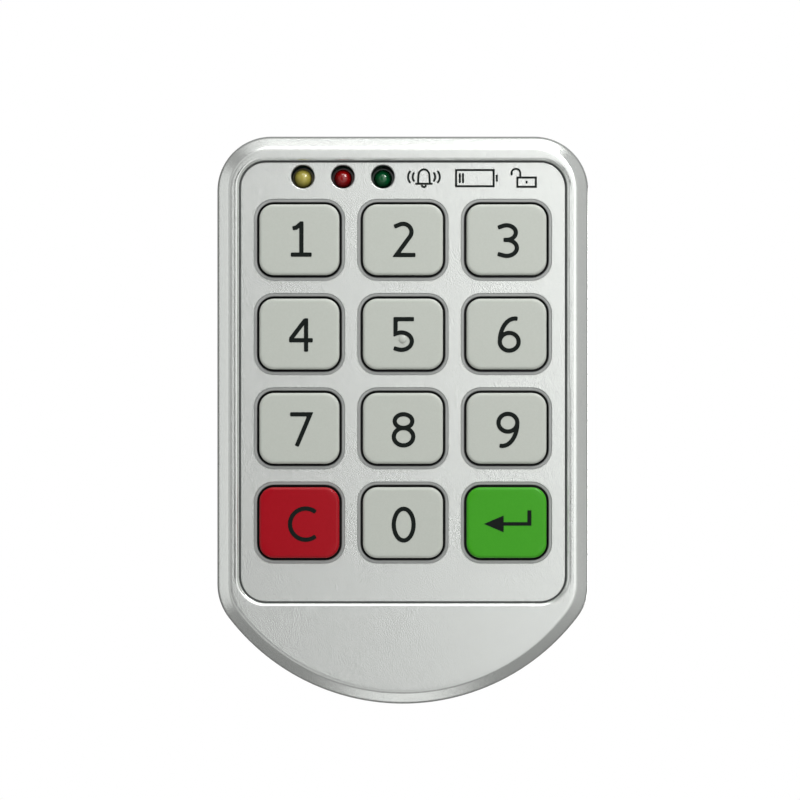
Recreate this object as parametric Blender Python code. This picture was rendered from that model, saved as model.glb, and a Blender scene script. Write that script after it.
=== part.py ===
# Electronic cabinet lock: a keypad unit outside the door and a motor-driven bolt unit inside it.
# Metres. +X is right, +Y goes from the keypad through the door, +Z is up.
# The origin is on the keypad unit's back face, which lies on the door.
import math

import bmesh
import bpy

# Clearances shared by the whole lock
SEAT_GAP = 0.0003
RUNNING_GAP = 0.0001
OVERRUN = 0.001

# The door that both units clamp
DOOR_THICKNESS = 0.018

# Keypad housing: outline, draft, front bevel and wall
PLATE_WIDTH = 0.065
PLATE_HEIGHT = 0.099
TOP_CORNER_RADIUS = 0.0097
CHIN_RISE = 0.018
CHIN_FILLET_RADIUS = 0.0098
SIDE_DRAFT = 0.00035
EDGE_BEVEL_WIDTH = 0.0022
EDGE_BEVEL_DEPTH = 0.0018
HOUSING_WALL = 0.002

# Recess in the housing's front that holds the lamps and the keys
RECESS_SIDE_MARGIN = 0.0048
RECESS_TOP_MARGIN = 0.0052
RECESS_LOW_MARGIN = 0.0184
RECESS_CORNER_RADIUS = 0.0045
RECESS_DEPTH = 0.0008
RECESS_WALL_WIDTH = 0.0009

# Keys and their openings
KEY_ROWS = (
    ("key_1", "key_2", "key_3"),
    ("key_4", "key_5", "key_6"),
    ("key_7", "key_8", "key_9"),
    ("key_clear", "key_0", "key_enter"),
)
KEY_WEB = 0.00345
KEY_SIDE_MARGIN = 0.002575
KEY_LOW_MARGIN = 0.006975
LAMP_BAND = 0.006675
KEY_OPENING_RADIUS = 0.0028
OPENING_LIP = 0.0005
KEY_GAP = 0.00035
KEY_PROUD = 0.0009
KEY_EDGE_WIDTH = 0.0004
KEY_FLANGE_OVERHANG = 0.0009
KEY_FLANGE_THICKNESS = 0.001
PIP_RADIUS = 0.0007
PIP_HEIGHT = 0.0003
PIP_DROP = 0.0009

# Lamps
LAMP_PITCH = 0.00692
LAMP_FIRST_INSET = 0.0104
LAMP_DROP = 0.0023
LAMP_HOLE_DIAMETER = 0.004
LAMP_HOLE_LIP = 0.00025
LAMP_LENS_DIAMETER = 0.0031
LAMP_FLANGE_DIAMETER = 0.0038
LAMP_FLANGE_THICKNESS = 0.0009
LAMP_HEIGHT = 0.0048
LAMP_LEG_WIDTH = 0.0005
LAMP_LEG_SPACING = 0.00254
YELLOW_LAMP_DEPTH = 0.0004
RED_LAMP_DEPTH = 0.0006
GREEN_LAMP_DEPTH = 0.0012

# Silicone key mat under the keys
MAT_THICKNESS = 0.001
MAT_MARGIN = 0.0008
DOME_HEIGHT = 0.0022
DOME_BASE_RADIUS = 0.0042
DOME_TOP_RADIUS = 0.0031

# Keypad circuit board and what is soldered to its back
BOARD_THICKNESS = 0.0016
BOARD_SIDE_MARGIN = 0.0045
BOARD_TOP_MARGIN = 0.0035
BOARD_LOW_MARGIN = 0.0165
BOARD_CORNER_RADIUS = 0.006
BUZZER_DIAMETER = 0.009
BUZZER_HEIGHT = 0.0035
BUZZER_PORT_DIAMETER = 0.0015
BUZZER_X = 0.014
BUZZER_BELOW_MIDDLE = 0.0005
KEY_CHIP_SIZE = 0.008
KEY_CHIP_HEIGHT = 0.0014
KEY_CHIP_X = -0.014
SOCKET_WIDTH = 0.0075
SOCKET_HEIGHT = 0.005
SOCKET_DEPTH = 0.0036
SOCKET_WALL = 0.0008
KEY_SOCKET_X = 0.0115
KEY_SOCKET_RISE = 0.002
SOCKET_TO_PLATE = 0.0016

# Posts in the housing, and the screws that clamp board and back plate to them
POST_RADIUS = 0.0026
POST_BORE_DEPTH = 0.0042
TOP_POST_SIDE_MARGIN = 0.0085
TOP_POST_MARGIN = 0.0075
LOW_POST_SIDE_MARGIN = 0.0125
LOW_POST_MARGIN = 0.0205
BACK_PLATE_THICKNESS = 0.002
COLUMN_RADIUS = 0.003
COVER_SCREW_HEAD_RADIUS = 0.0022
COVER_SCREW_HEAD_HEIGHT = 0.0014
COVER_SCREW_RADIUS = 0.0012
COVER_SCREW_SINK = 0.0003

# Long screws that clamp the two units to the door, and the wire hole between them
DOOR_SCREW_DROP = 0.008
DOOR_SCREW_RISE = 0.014
DOOR_SCREW_RADIUS = 0.00195
DOOR_SCREW_HEAD_RADIUS = 0.0035
DOOR_SCREW_HEAD_HEIGHT = 0.0022
DOOR_SCREW_ENGAGEMENT = 0.005
DOOR_BOSS_RADIUS = 0.004
DOOR_BOSS_HEIGHT = 0.004
WIRE_HOLE_SIZE = 0.008
WIRE_HOLE_RADIUS = 0.0015

# Bolt unit: case and base plate
CASE_TOP_DROP = 0.0025
CASE_CORNER_RADIUS = 0.004
CASE_EDGE_BEVEL = 0.0009
CASE_WALL = 0.0018
TRAY_FLOOR = 0.0012
BASE_THICKNESS = 0.002

# Cells, their contacts and springs
CELL_COUNT = 4
CELL_DIAMETER = 0.0105
CELL_SPACE = 0.0005
CELL_LENGTH = 0.0445
CELL_NUB_DIAMETER = 0.0038
CELL_NUB_LENGTH = 0.001
CELL_EDGE = 0.0005
CONTACT_THICKNESS = 0.0005
CONTACT_HEIGHT = 0.009
CONTACT_WIDTH = 0.009
SPRING_LENGTH = 0.004
SPRING_WIRE = 0.0006
SPRING_BASE_RADIUS = 0.0034
SPRING_TIP_RADIUS = 0.0022
SPRING_TURNS = 3

# Battery cover, which slides down in two grooves
COVER_THICKNESS = 0.002
TONGUE_THICKNESS = 0.0009
GROOVE_DEPTH = 0.0012
GROOVE_WALL = 0.002
GRIP_COUNT = 4
GRIP_PITCH = 0.0022
GRIP_WIDTH = 0.016
GRIP_HEIGHT = 0.001
GRIP_DEPTH = 0.0005
GRIP_RISE = 0.006

# Bolt, its rack and the keeper that holds it down
BOLT_HEIGHT = 0.010
BOLT_THICKNESS = 0.006
BOLT_TOP_DROP = 0.0065
BOLT_HEAD_LENGTH = 0.017
BOLT_TAIL_HEIGHT = 0.0038
BOLT_NOSE_BEVEL = 0.0008
BOLT_REST_PROUD = 0.0005
KEEPER_LENGTH = 0.009
KEEPER_THICKNESS = 0.001
KEEPER_END_GAP = 0.0009
LOW_RAIL_HEIGHT = 0.0041
TOP_RAIL_HEIGHT = 0.0034
KEEPER_SCREW_RADIUS = 0.0009
KEEPER_SCREW_HEAD_RADIUS = 0.0016
KEEPER_SCREW_HEAD_HEIGHT = 0.0012
KEEPER_SCREW_LENGTH = 0.0045

# Gear train: motor pinion, idler and drive gear, whose small pinion moves the rack
PRESSURE_ANGLE = math.radians(25)
ADDENDUM_SHARE = 0.8
ROOT_CLEARANCE_SHARE = 0.25
TRAIN_MODULE = 0.0005
RACK_MODULE = 0.0008
PINION_TEETH = 10
WHEEL_TEETH = 30
TRAIN_BACKLASH = 0.0001
RACK_BACKLASH = 0.00012
RACK_SPACES_LEFT = 5
RACK_SPACES_RIGHT = 1
RACK_END = 0.0015
DRIVE_TO_KEEPER = 0.0058
WHEEL_TO_TRAY = 0.00224
WHEEL_THICKNESS = 0.002
WHEEL_LEVEL_GAP = 0.0006
WHEEL_OVER_KEEPER = 0.0008
AXLE_RADIUS = 0.001
AXLE_HEAD_RADIUS = 0.0015
AXLE_HEAD_HEIGHT = 0.0006
AXLE_BOSS_RADIUS = 0.002

# Motor and its cradle
MOTOR_RADIUS = 0.005
MOTOR_HALF_FLAT = 0.004
MOTOR_NOSE_RADIUS = 0.0015
MOTOR_NOSE_HEIGHT = 0.0005
MOTOR_BORE_DEPTH = 0.003
MOTOR_SHAFT_RADIUS = 0.0005
CRADLE_WALL = 0.0012
CRADLE_HEIGHT = 0.0045

# Motor board
MOTOR_BOARD_WIDTH = 0.015
MOTOR_BOARD_HEIGHT = 0.0105
MOTOR_BOARD_SHIFT = 0.002
MOTOR_BOARD_SIDE_GAP = 0.001
MOTOR_BOARD_TOP_DROP = 0.0081
MOTOR_BOARD_STAND = 0.0015
STANDOFF_RADIUS = 0.0015
STANDOFF_SPACING = 0.010
DRIVER_CHIP_WIDTH = 0.005
DRIVER_CHIP_HEIGHT = 0.0012

# Screws that hold the case to the base plate
CASE_SCREW_SIDE_MARGIN = 0.0049
CASE_SCREW_RISE = 0.0033
CASE_SCREW_RADIUS = 0.00115
CASE_SCREW_HEAD_RADIUS = 0.002
CASE_SCREW_HEAD_HEIGHT = 0.0014
CASE_SCREW_SINK = 0.0004
CASE_COLUMN_RADIUS = 0.00275
CASE_BOSS_HEIGHT = 0.003

# Facets
CORNER_STEPS = 3
PLATE_CORNER_STEPS = 6
CHIN_STEPS = 12
ROUND_SIDES = 12
SMALL_SIDES = 8
DOME_SIDES = 10
LENS_STEPS = 3
COIL_STEPS = 8

# Depths of the keypad unit, from its front face to the door
stack = RECESS_DEPTH + HOUSING_WALL + KEY_FLANGE_THICKNESS + DOME_HEIGHT + MAT_THICKNESS
plate_depth = (
    stack
    + BOARD_THICKNESS
    + SOCKET_DEPTH
    + 4 * SEAT_GAP
    + SOCKET_TO_PLATE
    + BACK_PLATE_THICKNESS
)
front_y = -plate_depth
floor_y = front_y + RECESS_DEPTH
inner_y = floor_y + HOUSING_WALL
flange_front_y = inner_y + SEAT_GAP
flange_back_y = flange_front_y + KEY_FLANGE_THICKNESS
dome_top_y = flange_back_y + SEAT_GAP
mat_front_y = dome_top_y + DOME_HEIGHT
mat_back_y = mat_front_y + MAT_THICKNESS
board_front_y = mat_back_y + SEAT_GAP
board_back_y = board_front_y + BOARD_THICKNESS
plate_front_y = -BACK_PLATE_THICKNESS

# Places on the keypad unit's face
plate_top_z = PLATE_HEIGHT / 2
recess_top_z = plate_top_z - RECESS_TOP_MARGIN
recess_width = PLATE_WIDTH - 2 * RECESS_SIDE_MARGIN
recess_height = PLATE_HEIGHT - RECESS_TOP_MARGIN - RECESS_LOW_MARGIN
recess_centre_z = recess_top_z - recess_height / 2
key_rows = len(KEY_ROWS)
key_columns = len(KEY_ROWS[0])
key_room_x = recess_width - 2 * KEY_SIDE_MARGIN - (key_columns - 1) * KEY_WEB
key_room_z = recess_height - LAMP_BAND - KEY_LOW_MARGIN - (key_rows - 1) * KEY_WEB
opening_width = key_room_x / key_columns
opening_height = key_room_z / key_rows
key_pitch_x = opening_width + KEY_WEB
key_pitch_z = opening_height + KEY_WEB
first_row_z = recess_top_z - LAMP_BAND - opening_height / 2
lamp_z = recess_top_z - LAMP_DROP
lamp_first_x = -recess_width / 2 + LAMP_FIRST_INSET
mat_centre_z = first_row_z - (key_rows - 1) * key_pitch_z / 2

# Depths of the bolt unit, from the door's inner face
tray_low_y = BASE_THICKNESS + SEAT_GAP + DOOR_SCREW_HEAD_HEIGHT + SEAT_GAP
tray_top_y = tray_low_y + TRAY_FLOOR
cell_y = tray_top_y + SEAT_GAP + CELL_DIAMETER / 2
bolt_low_y = BASE_THICKNESS + SEAT_GAP
bolt_top_y = bolt_low_y + BOLT_THICKNESS
keeper_top_y = bolt_top_y + SEAT_GAP + KEEPER_THICKNESS
drive_wheel_y = keeper_top_y + WHEEL_OVER_KEEPER
idler_wheel_y = drive_wheel_y + WHEEL_THICKNESS + WHEEL_LEVEL_GAP
axle_end_y = idler_wheel_y + WHEEL_THICKNESS + SEAT_GAP + AXLE_HEAD_HEIGHT
cells_back_y = cell_y + CELL_DIAMETER / 2 + SEAT_GAP + COVER_THICKNESS
works_back_y = axle_end_y + SEAT_GAP + CASE_WALL
case_back_y = max(cells_back_y, works_back_y)
case_inner_y = case_back_y - CASE_WALL
cover_in_y = case_back_y - COVER_THICKNESS

# Places in the bolt unit, seen from the front
cell_pitch = CELL_DIAMETER + CELL_SPACE
bay_length = CELL_LENGTH + SPRING_LENGTH + 2 * CONTACT_THICKNESS + 5 * SEAT_GAP
bay_half_x = CELL_COUNT * cell_pitch / 2 + SEAT_GAP
case_top_z = plate_top_z - CASE_TOP_DROP
wheel_distance = TRAIN_MODULE * (WHEEL_TEETH + PINION_TEETH) / 2
motor_board_reach = 2 * wheel_distance + MOTOR_BOARD_SHIFT + MOTOR_BOARD_WIDTH / 2
keeper_reach = KEEPER_END_GAP + KEEPER_LENGTH + DRIVE_TO_KEEPER
works_half_x = (keeper_reach + motor_board_reach + MOTOR_BOARD_SIDE_GAP) / 2
case_side_x = max(bay_half_x + GROOVE_DEPTH + GROOVE_WALL, works_half_x + CASE_WALL)
case_width = 2 * case_side_x
bolt_centre_z = case_top_z - BOLT_TOP_DROP - BOLT_HEIGHT / 2
bolt_low_z = bolt_centre_z - BOLT_HEIGHT / 2
rack_radius = RACK_MODULE * PINION_TEETH / 2
gear_z = bolt_low_z + ADDENDUM_SHARE * RACK_MODULE - rack_radius
wheel_tip_radius = TRAIN_MODULE * (WHEEL_TEETH / 2 + ADDENDUM_SHARE)
keeper_right_x = case_side_x - CASE_WALL - KEEPER_END_GAP
keeper_x = keeper_right_x - KEEPER_LENGTH / 2
drive_x = keeper_right_x - KEEPER_LENGTH - DRIVE_TO_KEEPER
idler_x = drive_x - wheel_distance
motor_x = idler_x - wheel_distance
motor_board_x = motor_x - MOTOR_BOARD_SHIFT
works_low_z = gear_z - wheel_tip_radius - WHEEL_TO_TRAY
bay_top_z = works_low_z - TRAY_FLOOR
bay_low_z = bay_top_z - bay_length
case_low_z = bay_low_z - CASE_WALL
case_height = case_top_z - case_low_z
case_centre_z = (case_top_z + case_low_z) / 2
low_rail_z = bolt_low_z - SEAT_GAP - LOW_RAIL_HEIGHT / 2
top_rail_z = bolt_low_z + BOLT_HEIGHT + SEAT_GAP + TOP_RAIL_HEIGHT / 2
motor_board_z = case_top_z - MOTOR_BOARD_TOP_DROP
case_screw_x = case_side_x - CASE_SCREW_SIDE_MARGIN
case_screw_z = works_low_z + CASE_SCREW_RISE
case_screw_seat_y = case_back_y - CASE_SCREW_SINK - CASE_SCREW_HEAD_HEIGHT
upper_screw_z = case_top_z - DOOR_SCREW_DROP
lower_screw_z = case_low_z + DOOR_SCREW_RISE
door_screw_places = [(0, upper_screw_z), (0, lower_screw_z)]
wire_hole_z = (upper_screw_z + lower_screw_z) / 2
top_post_x = PLATE_WIDTH / 2 - TOP_POST_SIDE_MARGIN
top_post_z = plate_top_z - TOP_POST_MARGIN
low_post_x = PLATE_WIDTH / 2 - LOW_POST_SIDE_MARGIN
low_post_z = -plate_top_z + LOW_POST_MARGIN
socket_z = wire_hole_z + KEY_SOCKET_RISE
buzzer_z = (socket_z + low_post_z) / 2 - BUZZER_BELOW_MIDDLE
post_places = [
    (-top_post_x, top_post_z),
    (top_post_x, top_post_z),
    (-low_post_x, low_post_z),
    (low_post_x, low_post_z),
]


# Scene, materials and objects


def clear_scene():
    for obj in list(bpy.data.objects):
        bpy.data.objects.remove(obj, do_unlink=True)


def finish(name, colour, roughness, metallic=0.0):
    """A plain Principled material in one of the lock's finishes."""
    made = bpy.data.materials.new(name)
    made.use_nodes = True
    shader = made.node_tree.nodes["Principled BSDF"]
    shader.inputs["Base Color"].default_value = (*colour, 1)
    shader.inputs["Roughness"].default_value = roughness
    shader.inputs["Metallic"].default_value = metallic
    made.diffuse_color = (*colour, 1)
    return made


clear_scene()
SILVER_PAINT = finish("silver_paint", (0.62, 0.63, 0.61), 0.38, 0.25)
KEY_GREY = finish("key_grey", (0.53, 0.55, 0.50), 0.45)
KEY_RED = finish("key_red", (0.33, 0.012, 0.02), 0.4)
KEY_GREEN = finish("key_green", (0.09, 0.36, 0.04), 0.4)
SILICONE = finish("silicone", (0.12, 0.12, 0.13), 0.7)
BOARD_GREEN = finish("board_green", (0.02, 0.16, 0.07), 0.4)
YELLOW_LENS = finish("yellow_lens", (0.4, 0.34, 0.12), 0.2)
RED_LENS = finish("red_lens", (0.3, 0.003, 0.004), 0.15)
GREEN_LENS = finish("green_lens", (0.005, 0.11, 0.03), 0.15)
BLACK_PLASTIC = finish("black_plastic", (0.02, 0.02, 0.022), 0.5)
WHITE_NYLON = finish("white_nylon", (0.75, 0.74, 0.7), 0.5)
CAST_ZINC = finish("cast_zinc", (0.45, 0.46, 0.47), 0.45, 0.9)
STEEL = finish("steel", (0.6, 0.6, 0.6), 0.3, 1.0)
BRASS = finish("brass", (0.65, 0.5, 0.22), 0.3, 1.0)
CELL_WRAP = finish("cell_wrap", (0.06, 0.13, 0.3), 0.3, 0.2)
CASE_GREY = finish("case_grey", (0.2, 0.21, 0.21), 0.55)


def unit(name, depth):
    """An empty that carries the pieces of one unit, at its place along the door's normal."""
    made = bpy.data.objects.new(name, None)
    bpy.context.collection.objects.link(made)
    made.location = (0, depth, 0)
    return made


KEYPAD_UNIT = unit("keypad_unit", 0)
BOLT_UNIT = unit("bolt_unit", DOOR_THICKNESS)


def loft(mesh, rings):
    """One closed solid through rings of equal point counts, capped at both ends."""
    loops = [[mesh.verts.new(point) for point in ring] for ring in rings]
    for low, high in zip(loops, loops[1:]):
        for i in range(len(low)):
            mesh.faces.new((low[i - 1], low[i], high[i], high[i - 1]))
    mesh.faces.new(loops[0])
    mesh.faces.new(list(reversed(loops[-1])))


def shaped(name, lofts, carrier, place=(0, 0, 0)):
    """A mesh object holding one or more closed lofts, on its carrier at its place."""
    mesh = bmesh.new()
    for rings in lofts:
        loft(mesh, rings)
    bmesh.ops.recalc_face_normals(mesh, faces=mesh.faces[:])
    data = bpy.data.meshes.new(name)
    mesh.to_mesh(data)
    mesh.free()
    made = bpy.data.objects.new(name, data)
    bpy.context.collection.objects.link(made)
    made.parent = carrier
    made.location = place
    return made


def piece(name, rings, material, carrier, place=(0, 0, 0)):
    """One sub-part of the lock: a closed loft with its finish, shaded smooth on its rounds."""
    made = shaped(name, [rings], carrier, place)
    made.data.materials.append(material)
    made.data.shade_smooth()
    made.data.set_sharp_from_angle(angle=math.radians(35))
    return made


def helper(name, lofts, like):
    """A hidden wire shape that cuts or joins another piece, in that piece's own space."""
    made = shaped(name, lofts, like.parent, like.location)
    made.hide_render = True
    made.display_type = "WIRE"
    return made


def combine(target, lofts, operation, label):
    """Adds or takes away one or more closed lofts."""
    tool = helper(f"{target.name}_{label}", lofts, target)
    boolean = target.modifiers.new(label, "BOOLEAN")
    boolean.operation = operation
    boolean.object = tool
    boolean.solver = "EXACT"


def cut(target, lofts, label):
    combine(target, lofts, "DIFFERENCE", label)


def fuse(target, lofts, label):
    combine(target, lofts, "UNION", label)


# Outlines, as lists of points in the plane of the door


def arc(x, z, radius, start, end, steps):
    """Points on an arc, both ends included."""
    angles = [start + (end - start) * i / steps for i in range(steps + 1)]
    return [(x + radius * math.cos(a), z + radius * math.sin(a)) for a in angles]


def circle(radius, sides, x=0, z=0):
    return arc(x, z, radius, 0, 2 * math.pi * (sides - 1) / sides, sides - 1)


def rounded_rectangle(width, height, radius, x=0, z=0, steps=CORNER_STEPS):
    """A rectangle round a centre, with quarter arcs at its corners."""
    across = width / 2 - radius
    up = height / 2 - radius
    corners = ((across, up), (-across, up), (-across, -up), (across, -up))
    points = []
    for turn, (dx, dz) in enumerate(corners):
        start = turn * math.pi / 2
        points += arc(x + dx, z + dz, radius, start, start + math.pi / 2, steps)
    return points


def rectangle(width, height, x=0, z=0):
    left, right = x - width / 2, x + width / 2
    low, high = z - height / 2, z + height / 2
    return [(right, high), (left, high), (left, low), (right, low)]


def plate_outline(inset):
    """The housing's outline moved inwards: round shoulders, straight sides and an arched chin."""
    half = PLATE_WIDTH / 2
    chin_radius = (half**2 + CHIN_RISE**2) / (2 * CHIN_RISE)
    chin_z = -plate_top_z + chin_radius
    fillet_x = half - CHIN_FILLET_RADIUS
    reach = chin_radius - CHIN_FILLET_RADIUS
    fillet_z = chin_z - math.sqrt(reach**2 - fillet_x**2)
    blend = math.acos(fillet_x / reach)
    shoulder_x = half - TOP_CORNER_RADIUS
    shoulder_z = plate_top_z - TOP_CORNER_RADIUS
    shoulder = TOP_CORNER_RADIUS - inset
    fillet = CHIN_FILLET_RADIUS - inset
    chin = chin_radius - inset
    turn = math.pi / 2
    steps = PLATE_CORNER_STEPS
    points = arc(shoulder_x, shoulder_z, shoulder, turn, 0, steps)
    points += arc(fillet_x, fillet_z, fillet, 0, -blend, CORNER_STEPS)
    points += arc(0, chin_z, chin, -blend, blend - 2 * turn, CHIN_STEPS)[1:-1]
    points += arc(-fillet_x, fillet_z, fillet, blend - 2 * turn, -2 * turn, CORNER_STEPS)
    points += arc(-shoulder_x, shoulder_z, shoulder, 2 * turn, turn, steps)
    return points


def at_depth(outline, y):
    return [(x, y, z) for x, z in outline]


def prism(outline, low_y, high_y):
    return [at_depth(outline, low_y), at_depth(outline, high_y)]


def turned(profile, sides, x=0, z=0):
    """A solid of revolution round an axis along Y, from (radius, y) pairs."""
    return [at_depth(circle(radius, sides, x, z), y) for radius, y in profile]


def block(x, y, z):
    """A box from its (low, high) extents."""
    outline = rectangle(x[1] - x[0], z[1] - z[0], sum(x) / 2, sum(z) / 2)
    return prism(outline, *y)


# Screws


def screw_profile(head_radius, head_height, shank_radius, top, tip):
    """Profile of a pan-head screw with a socket, from the socket's floor to the tip."""
    way = 1 if tip > top else -1
    socket = head_radius / 2
    edge = head_height / 4
    return [
        (socket, top + way * head_height / 2),
        (socket, top),
        (head_radius - edge, top),
        (head_radius, top + way * edge),
        (head_radius, top + way * head_height),
        (shank_radius, top + way * head_height),
        (shank_radius, tip - way * shank_radius / 2),
        (shank_radius / 2, tip),
    ]


# Gears


def involute(angle):
    return math.tan(angle) - angle


def gear_outline(teeth, module, backlash, first_tooth):
    """A spur gear's outline round its axis, with a tooth centred on the given angle."""
    pitch = module * teeth / 2
    base = pitch * math.cos(PRESSURE_ANGLE)
    tip = pitch + ADDENDUM_SHARE * module
    root = pitch - (ADDENDUM_SHARE + ROOT_CLEARANCE_SHARE) * module
    widest = (math.pi * module / 2 - backlash) / 2 / pitch + involute(PRESSURE_ANGLE)
    radii = [root, base, pitch, tip] if base > root else [root, pitch, tip]

    def half_angle(radius):
        return widest - involute(math.acos(min(1, base / radius)))

    points = []
    for tooth in range(teeth):
        centre = first_tooth + 2 * math.pi * tooth / teeth
        flank = [(r, -half_angle(r)) for r in radii]
        flank += [(r, half_angle(r)) for r in reversed(radii)]
        points += [(r * math.cos(centre + a), r * math.sin(centre + a)) for r, a in flank]
    return points


# Keypad unit


def key_places():
    """Each key's name and centre."""
    for row, names in enumerate(KEY_ROWS):
        for column, name in enumerate(names):
            x = (column - (key_columns - 1) / 2) * key_pitch_x
            yield name, x, first_row_z - row * key_pitch_z


def key_outline(grow, x=0, z=0):
    """A key opening's outline, grown or shrunk on every side."""
    width = opening_width + 2 * grow
    height = opening_height + 2 * grow
    return rounded_rectangle(width, height, KEY_OPENING_RADIUS + grow, x, z)


def lamp_x(number):
    return lamp_first_x + number * LAMP_PITCH


def front_housing():
    """Cast housing: drafted sides, a bevelled front edge, a recess, openings and posts."""
    edge = SIDE_DRAFT + EDGE_BEVEL_WIDTH
    shell = [
        at_depth(plate_outline(0), 0),
        at_depth(plate_outline(SIDE_DRAFT), front_y + EDGE_BEVEL_DEPTH),
        at_depth(plate_outline(edge), front_y),
    ]
    made = piece("front_housing", shell, SILVER_PAINT, KEYPAD_UNIT)

    def recess(grow):
        width = recess_width + 2 * grow
        height = recess_height + 2 * grow
        radius = RECESS_CORNER_RADIUS + grow
        return rounded_rectangle(width, height, radius, 0, recess_centre_z)

    mouth = at_depth(recess(2 * RECESS_WALL_WIDTH), front_y - RECESS_DEPTH)
    cut(made, [[at_depth(recess(0), floor_y), mouth]], "recess")
    cut(made, [prism(plate_outline(HOUSING_WALL), inner_y, OVERRUN)], "cavity")
    post_end = board_front_y - SEAT_GAP
    post = [(POST_RADIUS, inner_y - OVERRUN), (POST_RADIUS, post_end)]
    fuse(made, [turned(post, ROUND_SIDES, x, z) for x, z in post_places], "posts")
    bore_radius = COVER_SCREW_RADIUS + SEAT_GAP
    bore = [(bore_radius, post_end - POST_BORE_DEPTH), (bore_radius, post_end + OVERRUN)]
    cut(made, [turned(bore, ROUND_SIDES, x, z) for x, z in post_places], "post_bores")
    openings = []
    for _, x, z in key_places():
        lip = at_depth(key_outline(2 * OPENING_LIP, x, z), floor_y - OPENING_LIP)
        throat = at_depth(key_outline(0, x, z), floor_y + OPENING_LIP)
        openings.append([lip, throat, at_depth(key_outline(0, x, z), inner_y + OVERRUN)])
    cut(made, openings, "key_openings")
    hole = LAMP_HOLE_DIAMETER / 2
    profile = [
        (hole + 2 * LAMP_HOLE_LIP, floor_y - LAMP_HOLE_LIP),
        (hole, floor_y + LAMP_HOLE_LIP),
        (hole, inner_y + OVERRUN),
    ]
    cut(made, [turned(profile, ROUND_SIDES, lamp_x(i), lamp_z) for i in range(3)], "lamp_holes")


def key_rings():
    """A key cap's rings from its flange to its face, round its own centre."""
    face_y = floor_y - KEY_PROUD
    body = -KEY_GAP
    soft = KEY_EDGE_WIDTH * (1 - math.cos(math.pi / 4))
    return [
        at_depth(key_outline(KEY_FLANGE_OVERHANG), flange_back_y),
        at_depth(key_outline(KEY_FLANGE_OVERHANG), flange_front_y),
        at_depth(key_outline(body), flange_front_y),
        at_depth(key_outline(body), face_y + KEY_EDGE_WIDTH),
        at_depth(key_outline(body - soft), face_y + soft),
        at_depth(key_outline(body - KEY_EDGE_WIDTH), face_y),
    ]


def keys():
    """Twelve keys, each sliding in its opening, with a touch pip on the middle one."""
    colours = {"key_clear": KEY_RED, "key_enter": KEY_GREEN}
    for name, x, z in key_places():
        made = piece(name, key_rings(), colours.get(name, KEY_GREY), KEYPAD_UNIT, (x, 0, z))
        if name != "key_5":
            continue
        face_y = floor_y - KEY_PROUD
        dome = [
            (PIP_RADIUS, face_y + KEY_EDGE_WIDTH),
            (PIP_RADIUS, face_y),
            (PIP_RADIUS * math.cos(math.pi / 4), face_y - PIP_HEIGHT * math.sin(math.pi / 4)),
            (PIP_RADIUS / 4, face_y - PIP_HEIGHT),
        ]
        fuse(made, [turned(dome, SMALL_SIDES, 0, -PIP_DROP)], "pip")


def keypad_mat():
    """Silicone mat with one dome under each key."""
    width = (key_columns - 1) * key_pitch_x + opening_width + 2 * MAT_MARGIN
    height = (key_rows - 1) * key_pitch_z + opening_height + 2 * MAT_MARGIN
    sheet = rounded_rectangle(width, height, KEY_OPENING_RADIUS, 0, mat_centre_z)
    made = piece("keypad_mat", prism(sheet, mat_front_y, mat_back_y), SILICONE, KEYPAD_UNIT)
    dome = [
        (DOME_BASE_RADIUS, mat_front_y + MAT_THICKNESS / 2),
        (DOME_BASE_RADIUS, mat_front_y),
        (DOME_TOP_RADIUS, mat_front_y - DOME_HEIGHT * 2 / 3),
        (DOME_TOP_RADIUS, dome_top_y),
    ]
    fuse(made, [turned(dome, DOME_SIDES, x, z) for _, x, z in key_places()], "domes")


def lamps():
    """Three lamps on their legs, each with its dome a little below the recess floor."""
    lenses = (
        ("yellow_lamp", YELLOW_LAMP_DEPTH, YELLOW_LENS),
        ("red_lamp", RED_LAMP_DEPTH, RED_LENS),
        ("green_lamp", GREEN_LAMP_DEPTH, GREEN_LENS),
    )
    lens = LAMP_LENS_DIAMETER / 2
    flange = LAMP_FLANGE_DIAMETER / 2
    leg_end = board_front_y - SEAT_GAP
    for number, (name, depth, colour) in enumerate(lenses):
        tip = floor_y + depth
        base = tip + LAMP_HEIGHT
        profile = [(flange, base), (flange, base - LAMP_FLANGE_THICKNESS)]
        profile.append((lens, base - LAMP_FLANGE_THICKNESS))
        for step in range(LENS_STEPS + 1):
            rise = step / (LENS_STEPS + 0.5) * math.pi / 2
            profile.append((lens * math.cos(rise), tip + lens * (1 - math.sin(rise))))
        place = (lamp_x(number), 0, lamp_z)
        made = piece(name, turned(profile, DOME_SIDES), colour, KEYPAD_UNIT, place)
        half = LAMP_LEG_WIDTH / 2
        sides = (-LAMP_LEG_SPACING / 2, LAMP_LEG_SPACING / 2)
        depth_span = (base - LAMP_FLANGE_THICKNESS / 2, leg_end)
        legs = [block((x - half, x + half), depth_span, (-half, half)) for x in sides]
        fuse(made, legs, "legs")


def key_board():
    """Keypad circuit board, drilled for the clamping screws."""
    width = PLATE_WIDTH - 2 * BOARD_SIDE_MARGIN
    top = plate_top_z - BOARD_TOP_MARGIN
    low = -plate_top_z + BOARD_LOW_MARGIN
    outline = rounded_rectangle(width, top - low, BOARD_CORNER_RADIUS, 0, (top + low) / 2)
    made = piece("key_board", prism(outline, board_front_y, board_back_y), BOARD_GREEN, KEYPAD_UNIT)
    hole = COVER_SCREW_RADIUS + SEAT_GAP
    profile = [(hole, board_front_y - OVERRUN), (hole, board_back_y + OVERRUN)]
    cut(made, [turned(profile, ROUND_SIDES, x, z) for x, z in post_places], "screw_holes")


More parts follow.
